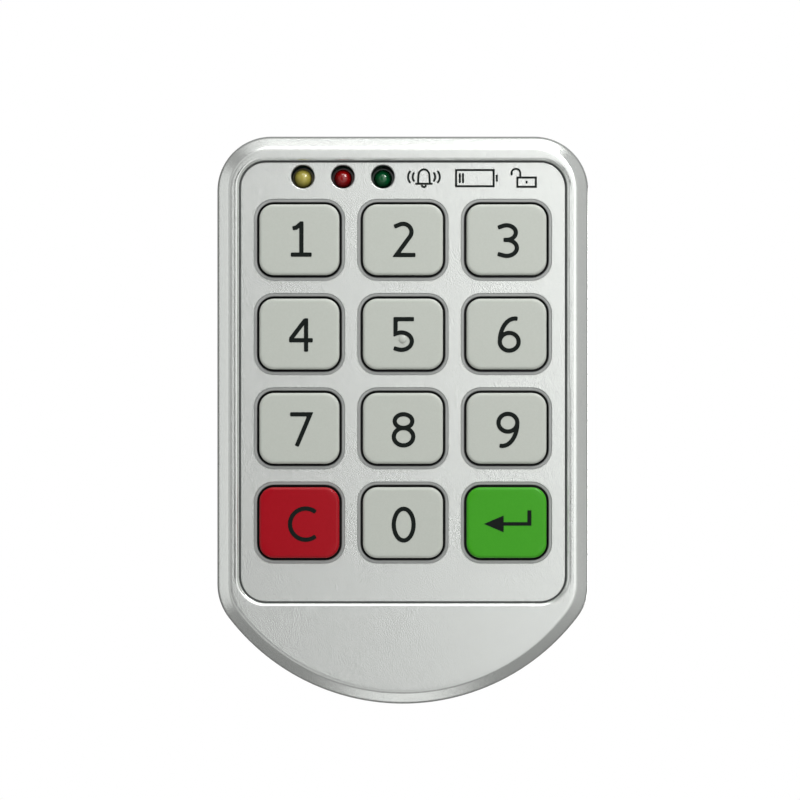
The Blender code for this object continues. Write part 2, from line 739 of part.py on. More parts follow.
def socket(name, x, z, low_y, carrier):
    """An open box header for the wires between the two boards."""
    high_y = low_y + SOCKET_DEPTH
    outer = rectangle(SOCKET_WIDTH, SOCKET_HEIGHT)
    made = piece(name, prism(outer, low_y, high_y), WHITE_NYLON, carrier, (x, 0, z))
    inner = rectangle(SOCKET_WIDTH - 2 * SOCKET_WALL, SOCKET_HEIGHT - 2 * SOCKET_WALL)
    cut(made, [prism(inner, low_y + SOCKET_WALL, high_y + OVERRUN)], "mouth")


def board_parts():
    """Buzzer, controller chip and wire socket on the keypad board's back."""
    seat = board_back_y + SEAT_GAP
    radius = BUZZER_DIAMETER / 2
    port = BUZZER_PORT_DIAMETER / 2
    top = seat + BUZZER_HEIGHT
    profile = [(radius, seat), (radius, top), (port, top), (port, seat + BUZZER_HEIGHT / 2)]
    place = (BUZZER_X, 0, buzzer_z)
    piece("buzzer", turned(profile, ROUND_SIDES), BLACK_PLASTIC, KEYPAD_UNIT, place)
    chip = rectangle(KEY_CHIP_SIZE, KEY_CHIP_SIZE)
    place = (KEY_CHIP_X, 0, socket_z)
    piece("key_chip", prism(chip, seat, seat + KEY_CHIP_HEIGHT), BLACK_PLASTIC, KEYPAD_UNIT, place)
    socket("key_socket", KEY_SOCKET_X, socket_z, seat, KEYPAD_UNIT)


def wire_hole():
    return rounded_rectangle(WIRE_HOLE_SIZE, WIRE_HOLE_SIZE, WIRE_HOLE_RADIUS, 0, wire_hole_z)


def back_plate():
    """Back plate that lies on the door: columns clamp the board, bosses take the door screws."""
    outline = plate_outline(HOUSING_WALL + SEAT_GAP)
    made = piece("back_plate", prism(outline, plate_front_y, 0), CAST_ZINC, KEYPAD_UNIT)
    inside = plate_front_y / 2
    column = [(COLUMN_RADIUS, inside), (COLUMN_RADIUS, board_back_y + SEAT_GAP)]
    boss = [(DOOR_BOSS_RADIUS, inside), (DOOR_BOSS_RADIUS, plate_front_y - DOOR_BOSS_HEIGHT)]
    raised = [turned(column, ROUND_SIDES, x, z) for x, z in post_places]
    raised += [turned(boss, ROUND_SIDES, x, z) for x, z in door_screw_places]
    fuse(made, raised, "bosses")
    sink = COVER_SCREW_HEAD_RADIUS + SEAT_GAP
    seat = -(COVER_SCREW_SINK + COVER_SCREW_HEAD_HEIGHT + SEAT_GAP)
    bore = COVER_SCREW_RADIUS + SEAT_GAP
    stepped = [(sink, OVERRUN), (sink, seat), (bore, seat), (bore, board_back_y)]
    cut(made, [turned(stepped, ROUND_SIDES, x, z) for x, z in post_places], "screw_holes")
    thread = DOOR_SCREW_RADIUS + SEAT_GAP
    through = [(thread, OVERRUN), (thread, plate_front_y - DOOR_BOSS_HEIGHT - OVERRUN)]
    cut(made, [turned(through, ROUND_SIDES, x, z) for x, z in door_screw_places], "threads")
    cut(made, [prism(wire_hole(), plate_front_y - OVERRUN, OVERRUN)], "wire_hole")


def cover_screws():
    """Four screws through the back plate and the board into the housing's posts."""
    top = -COVER_SCREW_SINK
    tip = board_front_y - SEAT_GAP - POST_BORE_DEPTH + SEAT_GAP
    head = (COVER_SCREW_HEAD_RADIUS, COVER_SCREW_HEAD_HEIGHT)
    profile = screw_profile(*head, COVER_SCREW_RADIUS, top, tip)
    for number, (x, z) in enumerate(post_places, 1):
        rings = turned(profile, SMALL_SIDES)
        piece(f"cover_screw_{number}", rings, STEEL, KEYPAD_UNIT, (x, 0, z))


# Bolt unit


def base_plate():
    """Cast base: rails for the bolt, a cradle for the motor, bosses and standoffs."""
    inset = CASE_WALL + SEAT_GAP
    width = case_width - 2 * inset
    height = case_height - 2 * inset
    radius = CASE_CORNER_RADIUS - inset
    outline = rounded_rectangle(width, height, radius, 0, case_centre_z)
    made = piece("base_plate", prism(outline, 0, BASE_THICKNESS), CAST_ZINC, BOLT_UNIT)
    inside = BASE_THICKNESS / 2
    rails = (
        rectangle(KEEPER_LENGTH, LOW_RAIL_HEIGHT, keeper_x, low_rail_z),
        rectangle(KEEPER_LENGTH, TOP_RAIL_HEIGHT, keeper_x, top_rail_z),
    )
    raised = [prism(rail, inside, bolt_top_y) for rail in rails]
    cradle = flatted_circle(CRADLE_WALL + SEAT_GAP)
    raised.append(prism(cradle, inside, BASE_THICKNESS + CRADLE_HEIGHT))
    boss = [(AXLE_BOSS_RADIUS, inside), (AXLE_BOSS_RADIUS, drive_wheel_y - 2 * SEAT_GAP)]
    raised.append(turned(boss, ROUND_SIDES, idler_x, gear_z))
    stand = [(STANDOFF_RADIUS, inside), (STANDOFF_RADIUS, BASE_THICKNESS + MOTOR_BOARD_STAND)]
    for side in (-1, 1):
        x = motor_board_x + side * STANDOFF_SPACING / 2
        raised.append(turned(stand, SMALL_SIDES, x, motor_board_z))
    column = [
        (CASE_COLUMN_RADIUS, inside),
        (CASE_COLUMN_RADIUS, BASE_THICKNESS + CASE_BOSS_HEIGHT),
    ]
    for side in (-1, 1):
        raised.append(turned(column, ROUND_SIDES, side * case_screw_x, case_screw_z))
    fuse(made, raised, "raised_parts")
    cut(made, [prism(flatted_circle(SEAT_GAP), BASE_THICKNESS, case_back_y)], "motor_pocket")

    def bore(radius, sides, x, z):
        return turned([(radius, -OVERRUN), (radius, case_back_y)], sides, x, z)

    screw = DOOR_SCREW_RADIUS + SEAT_GAP
    holes = [bore(screw, ROUND_SIDES, x, z) for x, z in door_screw_places]
    holes += [bore(AXLE_RADIUS + SEAT_GAP, SMALL_SIDES, x, gear_z) for x in (drive_x, idler_x)]
    tapped = CASE_SCREW_RADIUS + SEAT_GAP
    holes += [bore(tapped, SMALL_SIDES, side * case_screw_x, case_screw_z) for side in (-1, 1)]
    small = KEEPER_SCREW_RADIUS + SEAT_GAP
    holes += [bore(small, SMALL_SIDES, keeper_x, z) for z in (low_rail_z, top_rail_z)]
    holes.append(prism(wire_hole(), -OVERRUN, BASE_THICKNESS + OVERRUN))
    cut(made, holes, "bores")


def flatted_circle(grow):
    """The motor can's outline, a circle with two flats, grown on every side."""
    radius = MOTOR_RADIUS + grow
    flat = math.asin((MOTOR_HALF_FLAT + grow) / radius)
    right = arc(motor_x, gear_z, radius, -flat, flat, CORNER_STEPS)
    left = arc(motor_x, gear_z, radius, math.pi - flat, math.pi + flat, CORNER_STEPS)
    return right + left


def door_screws():
    """Two long screws from the base plate through the door into the keypad unit."""
    top = BASE_THICKNESS + SEAT_GAP + DOOR_SCREW_HEAD_HEIGHT
    tip = -DOOR_THICKNESS - DOOR_SCREW_ENGAGEMENT
    head = (DOOR_SCREW_HEAD_RADIUS, DOOR_SCREW_HEAD_HEIGHT)
    profile = screw_profile(*head, DOOR_SCREW_RADIUS, top, tip)
    for name, (x, z) in zip(("door_screw_upper", "door_screw_lower"), door_screw_places):
        piece(name, turned(profile, ROUND_SIDES), STEEL, BOLT_UNIT, (x, 0, z))


def bolt():
    """Flat bolt with its rack cut into the lower edge, origin at the middle of its nose."""
    pitch = math.pi * RACK_MODULE
    slope = math.tan(PRESSURE_ANGLE)
    above = ADDENDUM_SHARE * RACK_MODULE
    below = above + ROOT_CLEARANCE_SHARE * RACK_MODULE
    mouth = pitch / 4 + RACK_BACKLASH / 2 + above * slope
    root = pitch / 4 + RACK_BACKLASH / 2 - below * slope
    nose_x = case_side_x + BOLT_REST_PROUD
    low = -BOLT_HEIGHT / 2
    tail = low + BOLT_TAIL_HEIGHT
    first_x = drive_x - RACK_SPACES_LEFT * pitch - nose_x
    tail_x = first_x - RACK_END
    outline = [(tail_x, tail), (tail_x, low)]
    for space in range(RACK_SPACES_LEFT + RACK_SPACES_RIGHT + 1):
        x = first_x + space * pitch
        notch = ((-mouth, 0), (-root, above + below), (root, above + below), (mouth, 0))
        outline += [(x + dx, low + dz) for dx, dz in notch]
    bevel = BOLT_NOSE_BEVEL
    outline += [(-bevel, low), (0, low + bevel), (0, -low - bevel), (-bevel, -low)]
    outline += [(-BOLT_HEAD_LENGTH, -low), (-BOLT_HEAD_LENGTH, tail)]
    place = (nose_x, 0, bolt_centre_z)
    piece("bolt", prism(outline, bolt_low_y, bolt_top_y), STEEL, BOLT_UNIT, place)


def bolt_keeper():
    """Sheet keeper over the bolt, held to the rails by two screws."""
    low = low_rail_z - LOW_RAIL_HEIGHT / 2
    high = top_rail_z + TOP_RAIL_HEIGHT / 2
    outline = rectangle(KEEPER_LENGTH, high - low, keeper_x, (low + high) / 2)
    under = bolt_top_y + SEAT_GAP
    made = piece("bolt_keeper", prism(outline, under, keeper_top_y), STEEL, BOLT_UNIT)
    hole = KEEPER_SCREW_RADIUS + SEAT_GAP
    profile = [(hole, under - OVERRUN), (hole, keeper_top_y + OVERRUN)]
    places = [(keeper_x, low_rail_z), (keeper_x, top_rail_z)]
    cut(made, [turned(profile, SMALL_SIDES, x, z) for x, z in places], "screw_holes")
    top = keeper_top_y + SEAT_GAP + KEEPER_SCREW_HEAD_HEIGHT
    head = (KEEPER_SCREW_HEAD_RADIUS, KEEPER_SCREW_HEAD_HEIGHT)
    tip = keeper_top_y - KEEPER_SCREW_LENGTH
    screw = screw_profile(*head, KEEPER_SCREW_RADIUS, top, tip)
    for number, (x, z) in enumerate(places, 1):
        rings = turned(screw, SMALL_SIDES)
        piece(f"keeper_screw_{number}", rings, STEEL, BOLT_UNIT, (x, 0, z))


def compound_gear(name, pinion, pinion_low, wheel, wheel_low, x):
    """A wheel with a smaller pinion on its door side, bored for its axle."""
    wheel_top = wheel_low + WHEEL_THICKNESS
    rings = prism(wheel, wheel_low, wheel_top)
    made = piece(name, rings, WHITE_NYLON, BOLT_UNIT, (x, 0, gear_z))
    fuse(made, [prism(pinion, pinion_low, wheel_low + WHEEL_THICKNESS / 2)], "pinion")
    bore = (AXLE_RADIUS + RUNNING_GAP) / math.cos(math.pi / ROUND_SIDES)
    profile = [(bore, pinion_low - OVERRUN), (bore, wheel_top + OVERRUN)]
    cut(made, [turned(profile, ROUND_SIDES)], "bore")


def gear_train():
    """Motor pinion, idler and drive gear, in mesh with each other and with the rack."""
    gap_at_left = math.pi + math.pi / WHEEL_TEETH
    small = gear_outline(PINION_TEETH, TRAIN_MODULE, TRAIN_BACKLASH, 0)
    wheel = gear_outline(WHEEL_TEETH, TRAIN_MODULE, TRAIN_BACKLASH, gap_at_left)
    rack_pinion = gear_outline(PINION_TEETH, RACK_MODULE, RACK_BACKLASH, math.pi / 2)
    low = BASE_THICKNESS + 2 * SEAT_GAP
    compound_gear("drive_gear", rack_pinion, low, wheel, drive_wheel_y, drive_x)
    low = drive_wheel_y - SEAT_GAP
    compound_gear("idler_gear", small, low, wheel, idler_wheel_y, idler_x)
    high = idler_wheel_y + WHEEL_THICKNESS
    rings = prism(small, idler_wheel_y - SEAT_GAP, high)
    made = piece("motor_pinion", rings, BRASS, BOLT_UNIT, (motor_x, 0, gear_z))
    shaft_low = motor_top_y() + MOTOR_NOSE_HEIGHT - MOTOR_BORE_DEPTH + SEAT_GAP
    shaft = [(MOTOR_SHAFT_RADIUS, shaft_low), (MOTOR_SHAFT_RADIUS, high - SEAT_GAP)]
    fuse(made, [turned(shaft, SMALL_SIDES)], "shaft")


def axles():
    """Headed pins pressed into the base plate, which the gears turn on."""
    for name, x, wheel_low in (
        ("drive_axle", drive_x, drive_wheel_y),
        ("idler_axle", idler_x, idler_wheel_y),
    ):
        head_low = wheel_low + WHEEL_THICKNESS + SEAT_GAP
        profile = [
            (AXLE_RADIUS, SEAT_GAP),
            (AXLE_RADIUS, head_low),
            (AXLE_HEAD_RADIUS, head_low),
            (AXLE_HEAD_RADIUS, head_low + AXLE_HEAD_HEIGHT),
        ]
        piece(name, turned(profile, ROUND_SIDES), STEEL, BOLT_UNIT, (x, 0, gear_z))


def motor_top_y():
    """The motor can ends far enough below its pinion for the nose."""
    return idler_wheel_y - 2 * SEAT_GAP - MOTOR_NOSE_HEIGHT


def motor():
    """Small motor standing in its cradle, with its shaft hole in the nose."""
    low = BASE_THICKNESS + SEAT_GAP
    top = motor_top_y()
    made = piece("motor", prism(flatted_circle(0), low, top), STEEL, BOLT_UNIT)
    nose = [(MOTOR_NOSE_RADIUS, top - OVERRUN), (MOTOR_NOSE_RADIUS, top + MOTOR_NOSE_HEIGHT)]
    fuse(made, [turned(nose, ROUND_SIDES, motor_x, gear_z)], "nose")
    bore = MOTOR_SHAFT_RADIUS + SEAT_GAP
    end = top + MOTOR_NOSE_HEIGHT
    hole = [(bore, end - MOTOR_BORE_DEPTH), (bore, end + OVERRUN)]
    cut(made, [turned(hole, SMALL_SIDES, motor_x, gear_z)], "shaft_hole")


def motor_board():
    """Motor driver board on its standoffs, with its chip and wire socket."""
    low = BASE_THICKNESS + MOTOR_BOARD_STAND + SEAT_GAP
    high = low + BOARD_THICKNESS
    outline = rectangle(MOTOR_BOARD_WIDTH, MOTOR_BOARD_HEIGHT, motor_board_x, motor_board_z)
    piece("motor_board", prism(outline, low, high), BOARD_GREEN, BOLT_UNIT)
    seat = high + SEAT_GAP
    quarter = MOTOR_BOARD_WIDTH / 4
    socket("motor_socket", motor_board_x - quarter, motor_board_z, seat, BOLT_UNIT)
    chip = rectangle(DRIVER_CHIP_WIDTH, DRIVER_CHIP_WIDTH)
    place = (motor_board_x + quarter, 0, motor_board_z)
    rings = prism(chip, seat, seat + DRIVER_CHIP_HEIGHT)
    piece("driver_chip", rings, BLACK_PLASTIC, BOLT_UNIT, place)


def rear_case():
    """Moulded case over the works, with the battery bay open at its back."""

    def outline(inset):
        width = case_width - 2 * inset
        height = case_height - 2 * inset
        return rounded_rectangle(width, height, CASE_CORNER_RADIUS - inset, 0, case_centre_z)

    shell = [
        at_depth(outline(0), SEAT_GAP),
        at_depth(outline(0), case_back_y - CASE_EDGE_BEVEL),
        at_depth(outline(CASE_EDGE_BEVEL), case_back_y),
    ]
    made = piece("rear_case", shell, CASE_GREY, BOLT_UNIT)
    cut(made, [prism(outline(CASE_WALL), -OVERRUN, case_inner_y)], "cavity")
    bite = CASE_WALL / 2
    side = case_side_x - CASE_WALL + bite
    tray = block((-side, side), (tray_low_y, case_inner_y + bite), (bay_low_z - bite, works_low_z))
    fuse(made, [tray], "battery_tray")
    column_end = BASE_THICKNESS + CASE_BOSS_HEIGHT + SEAT_GAP
    column = [(CASE_COLUMN_RADIUS, column_end), (CASE_COLUMN_RADIUS, case_inner_y + bite)]
    places = [(sign * case_screw_x, case_screw_z) for sign in (-1, 1)]
    fuse(made, [turned(column, ROUND_SIDES, x, z) for x, z in places], "columns")
    sink = CASE_SCREW_HEAD_RADIUS + SEAT_GAP
    bore = CASE_SCREW_RADIUS + SEAT_GAP
    seat = case_screw_seat_y - SEAT_GAP
    stepped = [
        (bore, column_end - OVERRUN),
        (bore, seat),
        (sink, seat),
        (sink, case_back_y + OVERRUN),
    ]
    cut(made, [turned(stepped, ROUND_SIDES, x, z) for x, z in places], "screw_holes")
    wide = bay_half_x + GROOVE_DEPTH
    groove_low = cover_in_y - SEAT_GAP
    groove_high = cover_in_y + TONGUE_THICKNESS + SEAT_GAP
    past = case_back_y + OVERRUN
    half = [
        (bay_half_x, tray_top_y),
        (bay_half_x, groove_low),
        (wide, groove_low),
        (wide, groove_high),
        (bay_half_x, groove_high),
        (bay_half_x, past),
    ]
    section = half + [(-x, y) for x, y in reversed(half)]
    bay = [[(x, y, z) for x, y in section] for z in (bay_low_z, bay_top_z)]
    cut(made, [bay], "battery_bay")
    mouth = half[1:] + [(-x, y) for x, y in reversed(half[1:])]
    ends = (case_low_z - OVERRUN, bay_low_z + OVERRUN)
    cut(made, [[[(x, y, z) for x, y in mouth] for z in ends]], "cover_way")
    slot_z = (bolt_low_z - SEAT_GAP, bolt_low_z + BOLT_HEIGHT + SEAT_GAP)
    slot_x = (case_side_x - CASE_WALL - OVERRUN, case_side_x + OVERRUN)
    cut(made, [block(slot_x, (BASE_THICKNESS, bolt_top_y + SEAT_GAP), slot_z)], "bolt_slot")


def case_screws():
    """Two screws through the case's back into the base plate's bosses."""
    top = case_back_y - CASE_SCREW_SINK
    tip = BASE_THICKNESS / 2
    head = (CASE_SCREW_HEAD_RADIUS, CASE_SCREW_HEAD_HEIGHT)
    profile = screw_profile(*head, CASE_SCREW_RADIUS, top, tip)
    for name, side in (("case_screw_left", -1), ("case_screw_right", 1)):
        place = (side * case_screw_x, 0, case_screw_z)
        piece(name, turned(profile, SMALL_SIDES), STEEL, BOLT_UNIT, place)


def battery_cover():
    """Cover with a tongue along each side, and finger ridges near its lower end."""
    narrow = bay_half_x - SEAT_GAP
    wide = bay_half_x + GROOVE_DEPTH - SEAT_GAP
    tongue = cover_in_y + TONGUE_THICKNESS
    half = [(wide, cover_in_y), (wide, tongue), (narrow, tongue), (narrow, case_back_y)]
    section = half + [(-x, y) for x, y in reversed(half)]
    length = bay_top_z - SEAT_GAP - case_low_z
    rings = [[(x, y, z) for x, y in section] for z in (0, length)]
    place = (0, 0, case_low_z)
    made = piece("battery_cover", rings, CASE_GREY, BOLT_UNIT, place)
    grips = []
    for number in range(GRIP_COUNT):
        low = GRIP_RISE + number * GRIP_PITCH
        depth = (case_back_y - GRIP_DEPTH, case_back_y + OVERRUN)
        grips.append(block((-GRIP_WIDTH / 2, GRIP_WIDTH / 2), depth, (low, low + GRIP_HEIGHT)))
    cut(made, grips, "grips")


def cell_x(number):
    return (number - (CELL_COUNT - 1) / 2) * cell_pitch


def standing(profile, sides):
    """A solid of revolution round an axis along Z, from (radius, z) pairs."""
    return [[(x, y, z) for x, y in circle(radius, sides)] for radius, z in profile]


def cells():
    """Four cells side by side, each turned round from the one before it."""
    near_end = bay_low_z + SEAT_GAP + CONTACT_THICKNESS + SEAT_GAP + SPRING_LENGTH + SEAT_GAP
    body = CELL_LENGTH - CELL_NUB_LENGTH
    radius = CELL_DIAMETER / 2
    nub = CELL_NUB_DIAMETER / 2
    profile = [
        (radius - CELL_EDGE, 0),
        (radius, CELL_EDGE),
        (radius, body - CELL_EDGE),
        (radius - CELL_EDGE, body),
        (nub, body),
        (nub, CELL_LENGTH),
    ]
    for number in range(CELL_COUNT):
        rings = standing(profile, ROUND_SIDES)
        upright = number % 2 == 0
        z = near_end if upright else bay_low_z + bay_top_z - near_end
        place = (cell_x(number), cell_y, z)
        made = piece(f"cell_{number + 1}", rings, CELL_WRAP, BOLT_UNIT, place)
        made.rotation_euler = (0 if upright else math.pi, 0, 0)


def contacts():
    """Five sheet contacts: one at each pole of the row, and three that join neighbours."""
    low = bay_low_z + SEAT_GAP
    high = bay_top_z - SEAT_GAP - CONTACT_THICKNESS
    plates = (
        ("contact_positive", 0, 0, high),
        ("contact_top_bridge", 1, 2, high),
        ("contact_negative", 3, 3, high),
        ("contact_low_bridge_left", 0, 1, low),
        ("contact_low_bridge_right", 2, 3, low),
    )
    for name, first, last, z in plates:
        x = (cell_x(first) + cell_x(last)) / 2
        width = cell_x(last) - cell_x(first) + CONTACT_WIDTH
        corner = CONTACT_HEIGHT / 4
        outline = rounded_rectangle(width, CONTACT_HEIGHT, corner, 0, 0, CORNER_STEPS // 2)
        rings = [[(px, py, pz) for px, py in outline] for pz in (0, CONTACT_THICKNESS)]
        piece(name, rings, STEEL, BOLT_UNIT, (x, cell_y, z))


def spring_points():
    """The centre line of a tapering coil, from its wide end upwards."""
    wire = SPRING_WIRE / 2
    steps = SPRING_TURNS * COIL_STEPS
    points = []
    for step in range(steps + 1):
        share = step / steps
        turn = 2 * math.pi * step / COIL_STEPS
        radius = SPRING_BASE_RADIUS + (SPRING_TIP_RADIUS - SPRING_BASE_RADIUS) * share
        height = wire + (SPRING_LENGTH - SPRING_WIRE) * share
        points.append((radius * math.cos(turn), radius * math.sin(turn), height))
    return points


def least_gap(points):
    """The least clear distance between turns of the coil."""
    apart = COIL_STEPS // 2
    pairs = [
        math.dist(points[i], points[j])
        for i in range(len(points))
        for j in range(i + apart, len(points))
    ]
    return min(pairs) - SPRING_WIRE


def battery_springs():
    """One coil at each cell's flat end."""
    points = spring_points()
    print(f"battery spring: least gap between its turns {least_gap(points):.5f} m")
    base = bay_low_z + 2 * SEAT_GAP + CONTACT_THICKNESS
    for number in range(CELL_COUNT):
        upright = number % 2 == 0
        curve = bpy.data.curves.new(f"battery_spring_{number + 1}", "CURVE")
        curve.dimensions = "3D"
        curve.bevel_depth = SPRING_WIRE / 2
        curve.bevel_resolution = 1
        curve.use_fill_caps = True
        spline = curve.splines.new("POLY")
        spline.points.add(len(points) - 1)
        for slot, point in zip(spline.points, points):
            slot.co = (*point, 1)
        made = bpy.data.objects.new(curve.name, curve)
        made.data.materials.append(STEEL)
        bpy.context.collection.objects.link(made)
        made.parent = BOLT_UNIT
        z = base if upright else bay_low_z + bay_top_z - base
        made.location = (cell_x(number), cell_y, z)
        made.rotation_euler = (0 if upright else math.pi, 0, 0)


front_housing()
keys()
keypad_mat()
lamps()
key_board()
board_parts()
back_plate()
cover_screws()
base_plate()
door_screws()
bolt()
bolt_keeper()
gear_train()
axles()
motor()
motor_board()
rear_case()
case_screws()
battery_cover()
cells()
contacts()
battery_springs()
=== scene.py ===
# %% [markdown]
# # An electronic cabinet lock
#
# The lock is two units on a cabinet door. Outside is a painted keypad with twelve keys and three lamps.
# Inside is a case with the bolt, a small motor, its gears and four cells. The CAD model is loaded first, as
# a frame that never changes: it gives each piece its place, and every new piece is drawn on top of it.

# %% Load the frame
import math

import bmesh
import bpy
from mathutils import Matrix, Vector


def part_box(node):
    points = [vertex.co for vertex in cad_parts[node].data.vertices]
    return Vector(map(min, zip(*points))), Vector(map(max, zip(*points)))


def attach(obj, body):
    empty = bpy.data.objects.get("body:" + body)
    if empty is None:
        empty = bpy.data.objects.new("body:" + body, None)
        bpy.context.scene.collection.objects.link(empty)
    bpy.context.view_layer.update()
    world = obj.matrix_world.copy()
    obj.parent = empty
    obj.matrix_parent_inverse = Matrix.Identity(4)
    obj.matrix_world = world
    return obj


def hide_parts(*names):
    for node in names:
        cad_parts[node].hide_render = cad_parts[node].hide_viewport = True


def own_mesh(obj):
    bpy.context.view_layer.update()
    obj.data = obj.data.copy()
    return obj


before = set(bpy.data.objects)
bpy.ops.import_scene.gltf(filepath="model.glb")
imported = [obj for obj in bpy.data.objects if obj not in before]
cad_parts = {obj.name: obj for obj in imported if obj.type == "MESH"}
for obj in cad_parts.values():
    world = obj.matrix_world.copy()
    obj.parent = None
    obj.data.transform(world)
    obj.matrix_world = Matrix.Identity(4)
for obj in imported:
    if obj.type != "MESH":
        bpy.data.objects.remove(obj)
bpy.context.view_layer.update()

print("nodes in the frame:", len(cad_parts))

# %% [markdown]
# ## Tools for working by hand, in code
#
# Every mesh here is made with the operators that the menus run, so the same steps work with a mouse. An
# operator acts on whatever is selected. That is why each step first clears the selection, and then picks
# vertices, edges or faces by where they lie.

# %% Choosing what an operator works on
MM = 0.001
WELD = MM / 1000


def calm():
    """Back to object mode, with nothing selected."""
    if bpy.context.mode != "OBJECT":
        bpy.ops.object.mode_set(mode="OBJECT")
    bpy.ops.object.select_all(action="DESELECT")


def hold(*objects):
    """Selects these objects only, with the first one active."""
    calm()
    for each in objects:
        each.select_set(True)
    bpy.context.view_layer.objects.active = objects[0]


def edit(made):
    """Opens a mesh for work on its vertices, edges and faces."""
    hold(made)
    bpy.ops.object.mode_set(mode="EDIT")


def everything(kind=None):
    """Selects the whole open mesh, in the mode VERT, EDGE or FACE where one is named."""
    if kind:
        bpy.ops.mesh.select_mode(type=kind)
    bpy.ops.mesh.select_all(action="SELECT")


def pick(made, kind, test):
    """Selects the verts, edges or faces that pass a test, and nothing else."""
    modes = {"verts": "VERT", "edges": "EDGE", "faces": "FACE"}
    bpy.ops.mesh.select_mode(type=modes[kind])
    bpy.ops.mesh.select_all(action="DESELECT")
    mesh = bmesh.from_edit_mesh(made.data)
    found = [item for item in getattr(mesh, kind) if test(item)]
    for item in found:
        item.select_set(True)
    mesh.select_flush_mode()
    bmesh.update_edit_mesh(made.data)
    return len(found)


def weld(reach=WELD):
    """Merges the vertices of the open mesh that lie this close together."""
    everything()
    bpy.ops.mesh.remove_doubles(threshold=reach)


def applied(made, kind, **settings):
    """Adds a modifier with these settings and applies it."""
    hold(made)
    modifier = made.modifiers.new(kind.lower(), kind)
    for key, value in settings.items():
        setattr(modifier, key, value)
    bpy.ops.object.modifier_apply(modifier=modifier.name)


# %% [markdown]
# ## A pen for outlines
#
# The lock's pieces are mostly an outline with a depth: rounded keys, a housing with an arched chin, a flat
# bolt. A plane squeezed to a single vertex works as a pen. Extruding the vertex draws a line, and spinning
# it round a centre draws an arc, so a straight side runs into its corner without a kink.

# %% Drawing with one vertex
def pen(name, x, y, z):
    """A mesh of one vertex, open in edit mode."""
    calm()
    bpy.ops.mesh.primitive_plane_add(size=MM)
    made = bpy.context.object
    made.name = name
    bpy.ops.object.mode_set(mode="EDIT")
    everything("VERT")
    bpy.ops.mesh.merge(type="CENTER")
    bpy.ops.transform.translate(value=(x, y, z))
    return made


def line(dx, dz, dy=0):
    bpy.ops.mesh.extrude_region_move(TRANSFORM_OT_translate={"value": (dx, dy, dz)})


def strides(steps, unit=MM):
    """One line after another, each given by how far it goes."""
    for dx, dz in steps:
        line(dx * unit, dz * unit)


def through(places):
    """Lines from the first place, where the pen is, to each of the others."""
    for (from_x, from_z), (to_x, to_z) in zip(places, places[1:]):
        line(to_x - from_x, to_z - from_z)


def swing(x, z, degrees, steps):
    """An arc round a centre, clockwise as seen from the front of the lock."""
    turn = -math.radians(degrees)
    bpy.ops.mesh.spin(steps=steps, angle=turn, center=(x, 0, z), axis=(0, 1, 0))


def fill_outline(made, way):
    """Closes the drawn outline and fills it with one face, to the front (-1) or to the door (1)."""
    everything("EDGE")
    bpy.ops.mesh.remove_doubles(threshold=WELD)
    bpy.ops.mesh.edge_face_add()
    mesh = bmesh.from_edit_mesh(made.data)
    mesh.faces.ensure_lookup_table()
    if mesh.faces[0].normal.y * way < 0:
        bpy.ops.mesh.flip_normals()


def rounded_face(name, width, height, radius, y, x=0, z=0, steps=8, way=-1):
    """A filled rectangle with round corners."""
    right = x + width / 2 - radius
    left = x - width / 2 + radius
    high = z + height / 2 - radius
    low = z - height / 2 + radius
    made = pen(name, left, y, high + radius)
    for dx, dz, corner_x, corner_z in (
        (right - left, 0, right, high),
        (0, low - high, right, low),
        (left - right, 0, left, low),
        (0, high - low, left, high),
    ):
        line(dx, dz)
        swing(corner_x, corner_z, 90, steps)
    fill_outline(made, way)
    return made


def circle_face(name, radius, place, turn, sides):
    """A filled circle, turned about the x axis, open in edit mode with its face selected."""
    calm()
    bpy.ops.mesh.primitive_circle_add(
        vertices=sides, radius=radius, fill_type="NGON", location=place, rotation=(turn, 0, 0)
    )
    made = bpy.context.object
    made.name = name
    bpy.ops.object.transform_apply(location=True, rotation=True, scale=True)
    edit(made)
    everything("FACE")
    return made


def disc(name, radius, x, y, z, sides=40, way=-1):
    """A filled circle that faces the front (-1) or the door (1)."""
    return circle_face(name, radius, (x, y, z), -way * math.pi / 2, sides)


# %% [markdown]
# ## From outline to form
#
# A casting or a moulded cap is its outline carried along a profile: straight up, then in, then over a soft
# edge. Insetting the face a little at a time does just that. The profile is a short list of places, counted
# inwards and forwards from the first face, and a helper rounds its corners, because no real edge is sharp.

# %% Profiles
def in_mm(*places):
    """A profile whose places are given in millimetres."""
    return [(inward * MM, forward * MM) for inward, forward in places]


def domed(inward, forward, wide, high, degrees):
    """Places on a quarter oval that rises from a steep start and ends level."""
    turns = [math.radians(turn) for turn in degrees]
    return [(inward + wide * (1 - math.cos(turn)), forward + high * math.sin(turn)) for turn in turns]


def rolled(inward, forward, wide, high, degrees):
    """Places on a quarter oval that leaves its start level and turns down."""
    turns = [math.radians(turn) for turn in degrees]
    return [(inward + wide * math.sin(turn), forward + high * (math.cos(turn) - 1)) for turn in turns]


def soft(profile, radius, steps=4):
    """The profile with each of its inner corners rounded."""
    points = [Vector(place) for place in profile]
    made = [points[0]]
    for before, corner, after in zip(points, points[1:], points[2:]):
        back = before - corner
        on = after - corner
        reach = min(radius, back.length / 2, on.length / 2)
        start = corner + back.normalized() * reach
        end = corner + on.normalized() * reach
        for step in range(steps + 1):
            share = step / steps
            near = start.lerp(corner, share)
            far = corner.lerp(end, share)
            made.append(near.lerp(far, share))
    return made + [points[-1]]


def press(profile):
    """Carries the selected face along a profile of (inward, forward) places."""
    for (inward, forward), (next_inward, next_forward) in zip(profile, profile[1:]):
        thickness = next_inward - inward
        depth = next_forward - forward
        if abs(thickness) + abs(depth) > WELD:
            bpy.ops.mesh.inset(thickness=thickness, depth=depth, use_even_offset=True)


